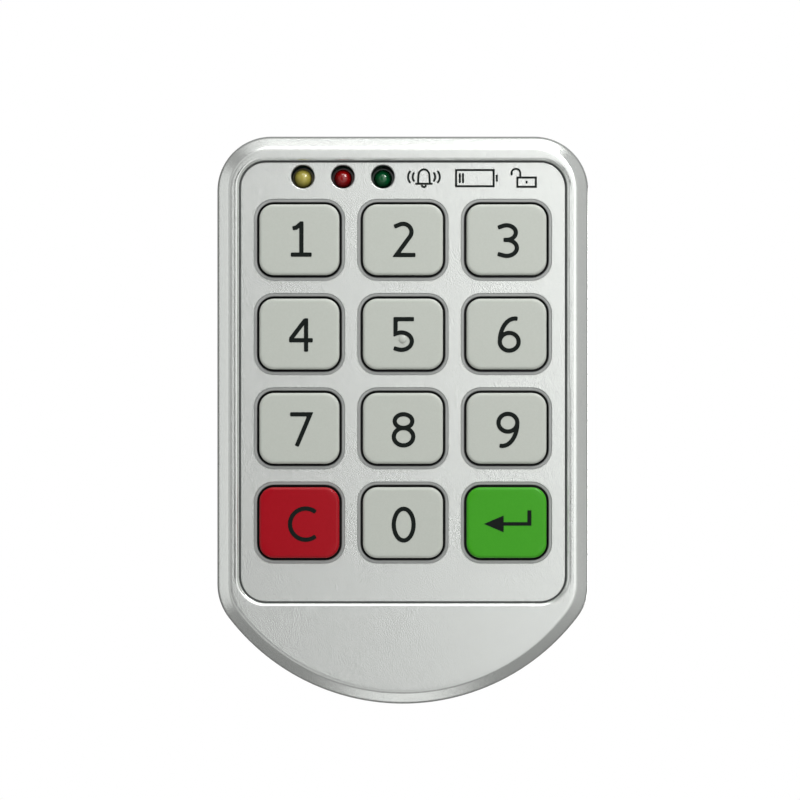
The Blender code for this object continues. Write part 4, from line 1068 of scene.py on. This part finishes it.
# %% Back plate
PLATE_INSET = 2.3 * MM
PLATE_FRONT = -2 * MM
COLUMN_RADIUS = 3 * MM
SINK_RADIUS = 2.6 * MM
BOSS_RADIUS = 4 * MM
THREAD_MOUTH = 2.55 * MM
WIRE_HOLE = 8.4 * MM
door_screw_places = [(0, 39 * MM), (0, -23 * MM)]
shells = [plate_face("plate rim", PLATE_FRONT, PLATE_INSET, 1)]
press_open(in_mm((0, 0), (0, 1.6), (0.15, 1.88), (0.4, 2)))
for x, z in post_places:
    shells.append(disc("column", COLUMN_RADIUS, x, PLATE_FRONT, z))
    press_open(in_mm((0, 0), (0, 5.2), (1.5, 5.2)))
    shells.append(disc("sink", SINK_RADIUS, x, 0, z, way=1))
    press_open(in_mm((0, 0), (0.1, -0.1), (0.1, -2), (1.1, -2), (1.1, -7.2)))
for x, z in door_screw_places:
    shells.append(disc("boss", BOSS_RADIUS, x, PLATE_FRONT, z))
    press_open(in_mm((0, 0), (0, 3.7), (0.3, 4), (1.75, 4)))
    shells.append(disc("thread", THREAD_MOUTH, x, 0, z, way=1))
    press_open(in_mm((0, 0), (0.3, -0.3), (0.3, -6)))
shells.append(rounded_face("wire hole", WIRE_HOLE, WIRE_HOLE, 1.7 * MM, 0, z=8 * MM, way=1))
press_open(in_mm((0, 0), (0.2, -0.2), (0.2, -2)))
back_plate = joined("back_plate_casting", shells)
edit(back_plate)
weld(MM / 50)
bpy.ops.mesh.normals_make_consistent(inside=False)
for level in (0, PLATE_FRONT):
    fill_level(back_plate, level)
settle(back_plate, 32)
dressed(back_plate, zinc, "lock_body", "cast_zinc", "back_plate")

# %% [markdown]
# ## Screws
#
# Every screw has a domed head with a cross recess. The two long ones pass through the door in plain sight,
# so they also get a real thread: one turn of it is drawn as a short zigzag, and the Screw modifier winds it
# up the shank, one pitch a turn. Two bisects trim the ends flat.

# %% A screw and its thread
SHANK_SINK = 0.3 * MM
SHANK_TIP = 0.8 * MM
CUTTER_OVER = 0.1 * MM


def wound_thread(name, radius, pitch, low_y, high_y):
    """A threaded rod along Y, with flat ends."""
    deep = 0.55 * pitch
    made = pen(name, radius - deep, low_y - 1.5 * pitch, 0)
    for dx, share in ((0, 0.2), (deep, 0.3), (0, 0.2), (-deep, 0.3)):
        line(dx, 0, share * pitch)
    turns = math.ceil((high_y - low_y) / pitch) + 3
    applied(made, "SCREW", axis="Y", steps=24, render_steps=24, screw_offset=pitch, iterations=turns)
    edit(made)
    weld(MM / 500)
    for y, side in ((low_y, -1), (high_y, 1)):
        everything()
        bpy.ops.mesh.bisect(
            plane_co=(0, y, 0), plane_no=(0, side, 0), use_fill=True, clear_outer=True, threshold=MM / 10000
        )
    return outward(made)


def cross_recess(width, depth, top_y):
    """The cutter for a cross recess, wide above and tapering into the head."""
    arm = width / 2
    half = width / 9
    reach = arm - half
    made = pen("cross", -half, top_y + CUTTER_OVER, arm)
    right_side = ((2 * half, 0), (0, -reach), (reach, 0), (0, -2 * half), (-reach, 0), (0, -reach))
    left_side = tuple((-dx, -dz) for dx, dz in right_side)
    strides(right_side + left_side, 1)
    thickened(made, -1, CUTTER_OVER + depth, 0.3 * half)
    calm()
    return made


def screw(name, head_radius, head_height, radius, top_y, tip_y, pitch=0):
    """A pan-head screw on the Y axis, head towards the room inside."""
    under_y = top_y - head_height
    shank_y = under_y + SHANK_SINK
    dome = domed(0, 0.45 * head_height, 0.55 * head_radius, 0.55 * head_height, range(0, 91, 15))
    made = pillar("head", head_radius, under_y, [(0, 0)] + dome, sides=36)
    if pitch:
        shank = wound_thread("shank", radius, pitch, tip_y, shank_y)
    else:
        reach = shank_y - tip_y
        shank = disc("shank", radius, 0, shank_y, 0, 24)
        press([(0, 0), (0, reach - SHANK_TIP), (0.5 * radius, reach)])
        close_back(shank)
    outward(made)
    added_to(made, shank)
    cut_from(made, cross_recess(1.15 * head_radius, 0.62 * head_height, top_y))
    made.name = name
    return settle(made, 35)


# %% Placing the screws
def placed_screws(model, nodes, places):
    """Copies a screw to its places, and takes the model away."""
    for node, (x, z) in zip(nodes, places):
        dressed(copied(model, f"{node}_pan_head", x, z), steel, "lock_body", "steel", node)
    bpy.data.objects.remove(model)


cover_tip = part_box("cover_screw_1")[0][1]
cover_screw = screw("cover screw", 2.2 * MM, 1.4 * MM, 1.2 * MM, -0.3 * MM, cover_tip)
placed_screws(cover_screw, [f"cover_screw_{number}" for number in range(1, 5)], post_places)

door_screw = screw("door screw", 3.5 * MM, 2.2 * MM, 1.95 * MM, 22.5 * MM, -5 * MM, 0.7 * MM)
placed_screws(door_screw, ("door_screw_upper", "door_screw_lower"), door_screw_places)

case_screw_places = [(side * 20.6 * MM, 20.3 * MM) for side in (-1, 1)]
case_screw = screw("case screw", 2 * MM, 1.4 * MM, 1.15 * MM, 36.7 * MM, 19 * MM)
placed_screws(case_screw, ("case_screw_left", "case_screw_right"), case_screw_places)

keeper_low, keeper_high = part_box("keeper_screw_1")
keeper_places = [(18.3 * MM, 28.15 * MM), (18.3 * MM, 42.5 * MM)]
keeper_screw = screw("keeper screw", 1.6 * MM, 1.2 * MM, 0.9 * MM, keeper_high[1], keeper_low[1])
placed_screws(keeper_screw, ("keeper_screw_1", "keeper_screw_2"), keeper_places)

# %% [markdown]
# ## The rear case
#
# The case over the works is moulded in grey plastic with an even wall. It starts as two open boxes, one
# inside the other, joined at the rim. Then Booleans add the battery tray and the screw columns, and cut the
# battery bay, the grooves for the cover, the way out for the cover, the screw holes and the slot for the
# bolt.

# %% Case
CASE_WIDTH = 51 * MM
CASE_HEIGHT = 84 * MM
CASE_RADIUS = 4 * MM
CASE_WALL = 1.8 * MM
CASE_FRONT = 18.3 * MM
CASE_DEPTH = 18.8 * MM
CASE_EDGE = 0.9 * MM
CASE_Z = 5 * MM
BAY_WIDTH = 44.6 * MM
COVER_GROOVE_Y = 34.8 * MM


def case_box(name, inset):
    """The case's outline, moved inwards."""
    width = CASE_WIDTH - 2 * inset
    return rounded_face(
        name, width, CASE_HEIGHT - 2 * inset, CASE_RADIUS - inset, CASE_FRONT, z=CASE_Z, steps=12, way=1
    )


outer = case_box("outer", 0)
edge = [(0, 0), (0, CASE_DEPTH - CASE_EDGE), (CASE_EDGE, CASE_DEPTH), (2 * MM, CASE_DEPTH)]
press(soft(edge, 0.5 * MM))
inner = case_box("inner", CASE_WALL)
press([(0, 0), (0, CASE_DEPTH - CASE_WALL)])
case = joined("rear_case_shell", [outer, inner])
edit(case)
fill_level(case, CASE_FRONT)
outward(case)
added_to(case, slab("tray", 49.2 * MM, 53.1 * MM, 1 * MM, 22.8 * MM, 13.4 * MM, z=-9.55 * MM))
for x, z in case_screw_places:
    added_to(case, pillar("column", 2.75 * MM, 23.3 * MM, in_mm((0, 0), (0, 12.9)), x, z))
    cut_from(
        case,
        pillar("sink", 2.3 * MM, 35 * MM, in_mm((0, 0), (0, 3)), x, z),
        pillar("bore", 1.45 * MM, 22 * MM, in_mm((0, 0), (0, 14)), x, z),
    )
cut_from(
    case,
    slab("bay", BAY_WIDTH, 51 * MM, 0.6 * MM, 24 * MM, 14.1 * MM, z=-9.7 * MM),
    slab("groove", 47 * MM, 53.8 * MM, 0.3 * MM, COVER_GROOVE_Y, 1.5 * MM, z=-11.1 * MM),
    slab("way out", BAY_WIDTH, 3.8 * MM, 0.1 * MM, COVER_GROOVE_Y, 3.3 * MM, z=-36.1 * MM),
    slab("slot", 3.8 * MM, 10.6 * MM, 0.4 * MM, 20 * MM, 6.6 * MM, 24.6 * MM, 35.5 * MM),
)
settle(case, 32)
dressed(case, case_grey, "lock_body", "case_grey", "rear_case")

# %% [markdown]
# ## The battery cover
#
# The cover slides in two grooves. It is a thin plate with a tongue along each side, its lower edge follows
# the case's rounded edge, and four finger grooves and a moulded arrow show where to push and which way.

# %% Cover
COVER_WIDTH = 44 * MM
COVER_HEIGHT = 52.5 * MM
COVER_RADIUS = 0.4 * MM
COVER_FRONT = 35.1 * MM
COVER_THICKNESS = 2 * MM
COVER_Z = -10.75 * MM
TONGUE_WIDTH = 46.4 * MM
TONGUE_HEIGHT = 51.9 * MM
GRIP_PITCH = 2.2 * MM
NEAR = 0.1 * MM
cover_low = COVER_Z - COVER_HEIGHT / 2
cover_back = COVER_FRONT + COVER_THICKNESS

cover = slab(
    "battery_cover_plate", COVER_WIDTH, COVER_HEIGHT, COVER_RADIUS, COVER_FRONT, COVER_THICKNESS, z=COVER_Z
)
outward(cover)
added_to(cover, slab("tongues", TONGUE_WIDTH, TONGUE_HEIGHT, COVER_RADIUS, COVER_FRONT, 0.9 * MM, z=COVER_Z))
edit(cover)


def lower_back_edge(item):
    return all(vert.co.z < cover_low + NEAR and vert.co.y > cover_back - NEAR for vert in item.verts)


pick(cover, "edges", lower_back_edge)
bpy.ops.mesh.bevel(offset=0.9 * MM, segments=4, affect="EDGES")
rounded(cover, 0.16 * MM, 50)
outward(cover)
for number in range(4):
    grip_z = -30.5 * MM + number * GRIP_PITCH
    cut_from(cover, slab("grip", 16 * MM, 1.04 * MM, 0.5 * MM, cover_back - 0.5 * MM, 1 * MM, z=grip_z))
arrow_cutter = pen("arrow", 0, cover_back - 0.3 * MM, -20.8 * MM)
strides(((-2, 2.2), (1.2, 0), (0, 3), (1.6, 0), (0, -3), (1.2, 0), (-2, -2.2)))
thickened(arrow_cutter, 1, 1 * MM)
cut_from(cover, arrow_cutter)
settle(cover, 32)
dressed(cover, case_grey, "battery_cover", "case_grey", "battery_cover")

# %% [markdown]
# ## The bolt
#
# The bolt is a flat steel tongue with a rack cut in its lower edge, where the last gear pushes it. The pen
# draws the outline with the seven tooth spaces, the face is given its thickness, and the edges are broken.

# %% Bolt with its rack
RACK_MODULE = 0.8 * MM
RACK_SPACES = 7
RACK_PLAY = 0.06 * MM
PRESSURE_ANGLE = 25
TAIL_HEIGHT = 3.8 * MM
HEAD_LENGTH = 17 * MM
NOSE_BEVEL = 0.8 * MM
bolt_low, bolt_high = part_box("bolt")
rack_pitch = math.pi * RACK_MODULE
slope = math.tan(math.radians(PRESSURE_ANGLE))
above = 0.8 * RACK_MODULE
below = 1.25 * above
mouth = rack_pitch / 4 + RACK_PLAY + above * slope
root = rack_pitch / 4 + RACK_PLAY - below * slope
first_x = 8 * MM - 5 * rack_pitch
tail_x, low_z = bolt_low[0], bolt_low[2]
nose_x, high_z = bolt_high[0], bolt_high[2]
tail_z = low_z + TAIL_HEIGHT
corners = [(tail_x, tail_z), (nose_x - HEAD_LENGTH, tail_z), (nose_x - HEAD_LENGTH, high_z)]
corners += [(nose_x - NOSE_BEVEL, high_z), (nose_x, high_z - NOSE_BEVEL)]
corners += [(nose_x, low_z + NOSE_BEVEL), (nose_x - NOSE_BEVEL, low_z)]
for space in reversed(range(RACK_SPACES)):
    x = first_x + space * rack_pitch
    corners += [(x + mouth, low_z), (x + root, low_z + above + below)]
    corners += [(x - root, low_z + above + below), (x - mouth, low_z)]
corners.append((tail_x, low_z))
bolt = pen("bolt_tongue", tail_x, bolt_low[1], tail_z)
through(corners + corners[:1])
thickened(bolt, 1, bolt_high[1] - bolt_low[1])
outward(bolt)
rounded(bolt, 0.14 * MM, 30)
settle(bolt, 32)
dressed(bolt, steel, "bolt", "steel", "bolt")

# %% [markdown]
# ## The cells
#
# Four small round cells lie side by side, each turned round from the one before. A cell is a steel can with
# a crimped end and a small nub, and a printed film is shrunk over it. Can and film are two pieces. The can
# is two discs carried along profiles, up and down from the same ring, and the film is a sleeve with a
# thickness.

# %% One cell
CELL_RADIUS = 5.25 * MM
CELL_PITCH = 11 * MM
CELL_Y = 29.55 * MM
FILM = 0.1 * MM
cell_xs = [(number - 1.5) * CELL_PITCH for number in range(4)]


def standing_disc(name, radius, x, z, way):
    """A filled circle that faces up (1) or down (-1)."""
    return circle_face(name, radius, (x, CELL_Y, z), 0 if way > 0 else math.pi, 48)


def cell_can(name, x, flat_z, way):
    """The can, from its flat end to its nub."""
    ring = flat_z + way * 0.6 * MM
    wide = CELL_RADIUS - FILM / 2
    top = standing_disc(name, wide, x, ring, way)
    shoulder = in_mm((0, 0), (0, 42.3), (0.12, 42.62), (0.4, 42.8), (1.05, 42.8), (1.15, 42.5), (3.1, 42.5))
    press(shoulder + in_mm((3.2, 42.7), (3.32, 43.6), (3.5, 43.85), (3.9, 43.9), (4.6, 43.9)))
    foot = standing_disc("foot", wide, x, ring, -way)
    crimp = in_mm((0, 0), (0.12, 0.35), (0.4, 0.5), (1.1, 0.5), (1.2, 0.3))
    press(crimp + in_mm((1.6, 0.3), (1.75, 0.6), (4.2, 0.6)))
    return settle(joined(name, [top, foot]), 35)


def cell_film(name, x, flat_z, way):
    """The printed film: a thin sleeve that turns in over the shoulder."""
    made = standing_disc(name, CELL_RADIUS, x, flat_z + way * 0.45 * MM, way)
    press_open(in_mm((0, 0), (0, 42.45), (0.12, 42.78), (0.4, 43.0), (0.85, 43.02)))
    applied(made, "SOLIDIFY", thickness=FILM, offset=-1, use_even_offset=True)
    return settle(made, 35)


# %% The film's print
RULE_LOW = 32.2 * MM
RULE_HIGH = 32.8 * MM
BAND_LOW = 33.8 * MM
PRINT_EDGE = 0.1 * MM


def film_print(name, way, low_z, high_z):
    """A plain deep blue film with a pale rule and a pale band at the nub's end."""
    made = Finish(name, coat_weight=0.5, coat_roughness=0.1)
    height = made.parts_of(made.place).twin("Z")
    from_flat = height - low_z if way > 0 else high_z - height
    band, rule_low, rule_high = [
        made.rise(from_flat, start, start + PRINT_EDGE) for start in (BAND_LOW, RULE_LOW, RULE_HIGH)
    ]
    printed = band + (rule_low - rule_high)
    drift = made.noise(6 * MM)
    film = made.mixed(drift, colour(22, 58, 118), colour(30, 70, 134))
    pale = made.mixed(drift, colour(196, 200, 204), colour(214, 217, 220))
    made.wear(
        base_color=made.mixed(printed, film, pale),
        roughness=0.26 + 0.1 * made.noise(0.5 * MM),
        metallic=0.5 * printed,
    )
    return made


for number, x in enumerate(cell_xs):
    node = f"cell_{number + 1}"
    low_z, high_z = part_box(node)[0][2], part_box(node)[1][2]
    way = 1 if number % 2 == 0 else -1
    flat_z = low_z if way > 0 else high_z
    dressed(cell_can(f"{node}_can", x, flat_z, way), steel, "lock_body", "steel", node)
    film = cell_film(f"{node}_film", x, flat_z, way)
    dressed(film, film_print(f"film {number + 1}", way, low_z, high_z), "lock_body", "cell_wrap", node)

# %% [markdown]
# ## Battery springs
#
# A cell is pressed home by a cone of spring wire. A small circle, the wire's section, is wound up by the
# Screw modifier into a coil, its ends are closed, and the coil is drawn in towards its tip by moving the
# vertices.

# %% Springs
SPRING_TURNS = 3
SPRING_STEPS = 26
SPRING_WIRE = 0.6 * MM
SPRING_LENGTH = 4 * MM
SPRING_BASE = 3.4 * MM
SPRING_TIP = 2.2 * MM
WIRE_END = 0.4 * MM


def wound_spring(name):
    """A conical coil that stands on the origin."""
    calm()
    bpy.ops.mesh.primitive_circle_add(
        vertices=10, radius=SPRING_WIRE / 2, location=(SPRING_BASE, 0, SPRING_WIRE / 2),
        rotation=(math.pi / 2, 0, 0),
    )
    made = bpy.context.object
    made.name = name
    bpy.ops.object.transform_apply(location=True, rotation=True, scale=True)
    climb = SPRING_LENGTH - SPRING_WIRE
    applied(
        made, "SCREW", axis="Z", steps=SPRING_STEPS, render_steps=SPRING_STEPS,
        screw_offset=climb / SPRING_TURNS, iterations=SPRING_TURNS,
    )
    for vert in made.data.vertices:
        away = math.hypot(vert.co.x, vert.co.y)
        share = min(max((vert.co.z - SPRING_WIRE / 2) / climb, 0), 1)
        drawn = (away - (SPRING_BASE - SPRING_TIP) * share) / away
        vert.co.x *= drawn
        vert.co.y *= drawn
    edit(made)
    for end_z in (SPRING_WIRE / 2, SPRING_WIRE / 2 + climb):

        def wire_end(item):
            return item.is_boundary and all(abs(vert.co.z - end_z) < WIRE_END for vert in item.verts)

        pick(made, "edges", wire_end)
        bpy.ops.mesh.edge_face_add()
    return settle(made, 60)


spring = wound_spring("spring")
for number, x in enumerate(cell_xs):
    node = f"battery_spring_{number + 1}"
    low_z, high_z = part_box(node)[0][2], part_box(node)[1][2]
    stand_z, turn = (low_z, 0) if number % 2 == 0 else (high_z, math.pi)
    made = copied(spring, f"{node}_coil", x, stand_z, CELL_Y, turn)
    dressed(made, steel, "lock_body", "steel", node)
bpy.data.objects.remove(spring)

# %% [markdown]
# ## The silicone mat
#
# Behind the keys lies a soft mat with a dome for each key. A dome gives way when its key goes in, and each
# is a piece of its own with its own mesh. The sheet between them stays as it is.

# %% Mat and domes
SHEET = 1 * MM
DOME_RADIUS = 4.2 * MM
DOME_SINK = 0.4 * MM
mat_low, mat_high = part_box("keypad_mat")
sheet_front = mat_high[1] - SHEET
mat_width = mat_high[0] - mat_low[0]
mat_height = mat_high[2] - mat_low[2]
mat_z = (mat_high[2] + mat_low[2]) / 2
mat = rounded_face("mat_sheet", mat_width, mat_height, 2.8 * MM, mat_high[1], z=mat_z)
press(in_mm((0, 0), (0, 0.8), (0.06, 0.94), (0.2, 1), (1, 1), (1.15, 0.85)))
close_back(mat)
settle(mat, 35)
dressed(mat, silicone, "lock_body", "silicone", "keypad_mat")

dome = disc("dome", DOME_RADIUS, 0, sheet_front + DOME_SINK, 0)
skirt = in_mm((0, 0.4), (0.12, 0.55), (0.85, 1.55), (1.1, 1.95))
tip = in_mm((1.1, 2.45), (1.22, 2.6), (1.9, 2.6), (2, 2.5))
press([(0, 0)] + soft(skirt + tip, 0.12 * MM, 3))
close_back(dome)
settle(dome, 50)
for sign, (x, z) in key_places.items():
    node = key_node(sign)
    made = copied(dome, f"{node}_dome", x, z)
    dressed(made, silicone, "lock_body", "silicone", "keypad_mat")
    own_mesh(made)
bpy.data.objects.remove(dome)

# %% [markdown]
# ## The works, finished
#
# The boards, gears, motor, contacts and the base plate have the right shape already. They keep their CAD
# mesh and get a finish.

# %% Finishes for the nodes that stay
WORKS = {
    zinc: ("base_plate",),
    steel: (
        "bolt_keeper", "drive_axle", "idler_axle", "motor", "contact_positive", "contact_top_bridge",
        "contact_negative", "contact_low_bridge_left", "contact_low_bridge_right",
    ),
    brass: ("motor_pinion",),
    nylon: ("drive_gear", "idler_gear", "key_socket", "motor_socket"),
    mask: ("key_board", "motor_board"),
    black_plastic: ("buzzer", "key_chip", "driver_chip"),
}
for finish, nodes in WORKS.items():
    for node in nodes:
        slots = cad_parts[node].data.materials
        slots.clear()
        slots.append(finish.made)
    print(finish.made.name, "on", len(nodes), "nodes")

# %% [markdown]
# ## Camera, light and floor
#
# The picture is taken from straight in front with a long lens. A small key lamp stands high on the right, a
# wide weak one leans behind the camera on the same side, and a third hangs above. A low lamp in the back
# lights the unit inside the door. What the paint mirrors are the studio's walls: a strip above and one
# below for the slanted edges, a pale wall on the left, a dimmer one on the right, a ring round the camera
# for the rims, and a patch beside the camera that makes the flat paint brighter to the right.

# %% Camera
CAMERA_DISTANCE = 0.6
FIELD_WIDTH = 0.1382
SENSOR = 36
camera = bpy.data.objects.new("camera", bpy.data.cameras.new("camera"))
bpy.context.collection.objects.link(camera)
camera.location = (-0.5 * MM, front_y - CAMERA_DISTANCE, 3.5 * MM)
camera.rotation_euler = (math.pi / 2, 0, 0)
camera.data.sensor_width = SENSOR
camera.data.lens = SENSOR * CAMERA_DISTANCE / FIELD_WIDTH
bpy.context.scene.camera = camera


# %% Lamps of the studio
def softbox(name, place, width, height, power, roll=0):
    """A flat lamp that looks at the lock."""
    data = bpy.data.lights.new(name, "AREA")
    data.shape = "RECTANGLE"
    data.size = width
    data.size_y = height
    data.energy = power
    made = bpy.data.objects.new(name, data)
    bpy.context.collection.objects.link(made)
    made.location = place
    made.visible_camera = False
    made.rotation_euler = Vector(place).to_track_quat("Z", "Y").to_euler()
    made.rotation_euler.rotate_axis("Z", math.radians(roll))


softbox("key_light", (0.17, -0.26, 0.24), width=0.13, height=0.13, power=0.68)
softbox("card_light", (0.2, -0.7, 0.2), width=0.48, height=0.7, power=0.74, roll=20)
softbox("top_light", (0.08, -0.2, 0.4), width=0.4, height=0.22, power=1.0)
softbox("back_light", (0.3, 0.6, -0.02), width=0.3, height=0.2, power=2.2)

# %% The studio's walls
DIM = 0.2
world = bpy.data.worlds.new("studio")
bpy.context.scene.world = world
world.use_nodes = True
studio = Wiring(world.node_tree)
across = studio.parts_of(studio.node("ShaderNodeTexCoord", output="Generated"))
depth = across.twin("Y")
up = across.twin("Z")
to_camera = 0 - depth
ahead = 1 - studio.rise(depth, -0.08, 0.12)
left_wall = 0.75 * studio.rise(0 - across, 0.78, 0.93)
right_wall = 0.2 * studio.rise(across, 0.6, 0.9)
strip_above = 0.68 * studio.rise(up - 0.115 * across, 0.83, 0.94)
strip_below = 1.15 * studio.rise(0 - up, 0.93, 0.98)
ring = studio.rise(to_camera, 0.55, 0.75) * (1 - studio.rise(to_camera, 0.82, 0.92))
beside_camera = studio.rise(to_camera, 0.8, 0.95) * (0.62 * studio.rise(across, -0.045, -0.005) - 0.08)
walls = (
    DIM
    - 0.1 * studio.rise(depth, 0.1, 0.5)
    + ahead * ((left_wall + right_wall) + (strip_above + strip_below))
    + ring * (0.36 + 0.14 * studio.rise(across, -0.4, 0.4))
    + beside_camera
)
behind = studio.rise(depth, 0.985, 0.997)
light_path = studio.node("ShaderNodeLightPath", output="Is Camera Ray")
mirrored = light_path.twin("Is Glossy Ray").worked_max(light_path.twin("Is Transmission Ray"))
seen = light_path.worked_max(mirrored * behind)
background = world.node_tree.nodes["Background"]
background.inputs["Color"].default_value = (1, 1, 1, 1)
studio.feed(background.inputs["Strength"], walls + seen * (1 - walls))
bpy.context.scene.view_settings.view_transform = "Standard"

# %% The floor
FLOOR_RADIUS = 0.35
FLOOR_Z = -0.12
floor = circle_face("floor", FLOOR_RADIUS, (0, 0.02, FLOOR_Z), 0, 96)
calm()
pale = Finish("pale floor", roughness=0.8)
pale.wear(base_color=pale.mixed(pale.noise(50 * MM), (0.7, 0.7, 0.69, 1), (0.74, 0.74, 0.73, 1)))
floor.data.materials.append(pale.made)
floor.visible_glossy = False
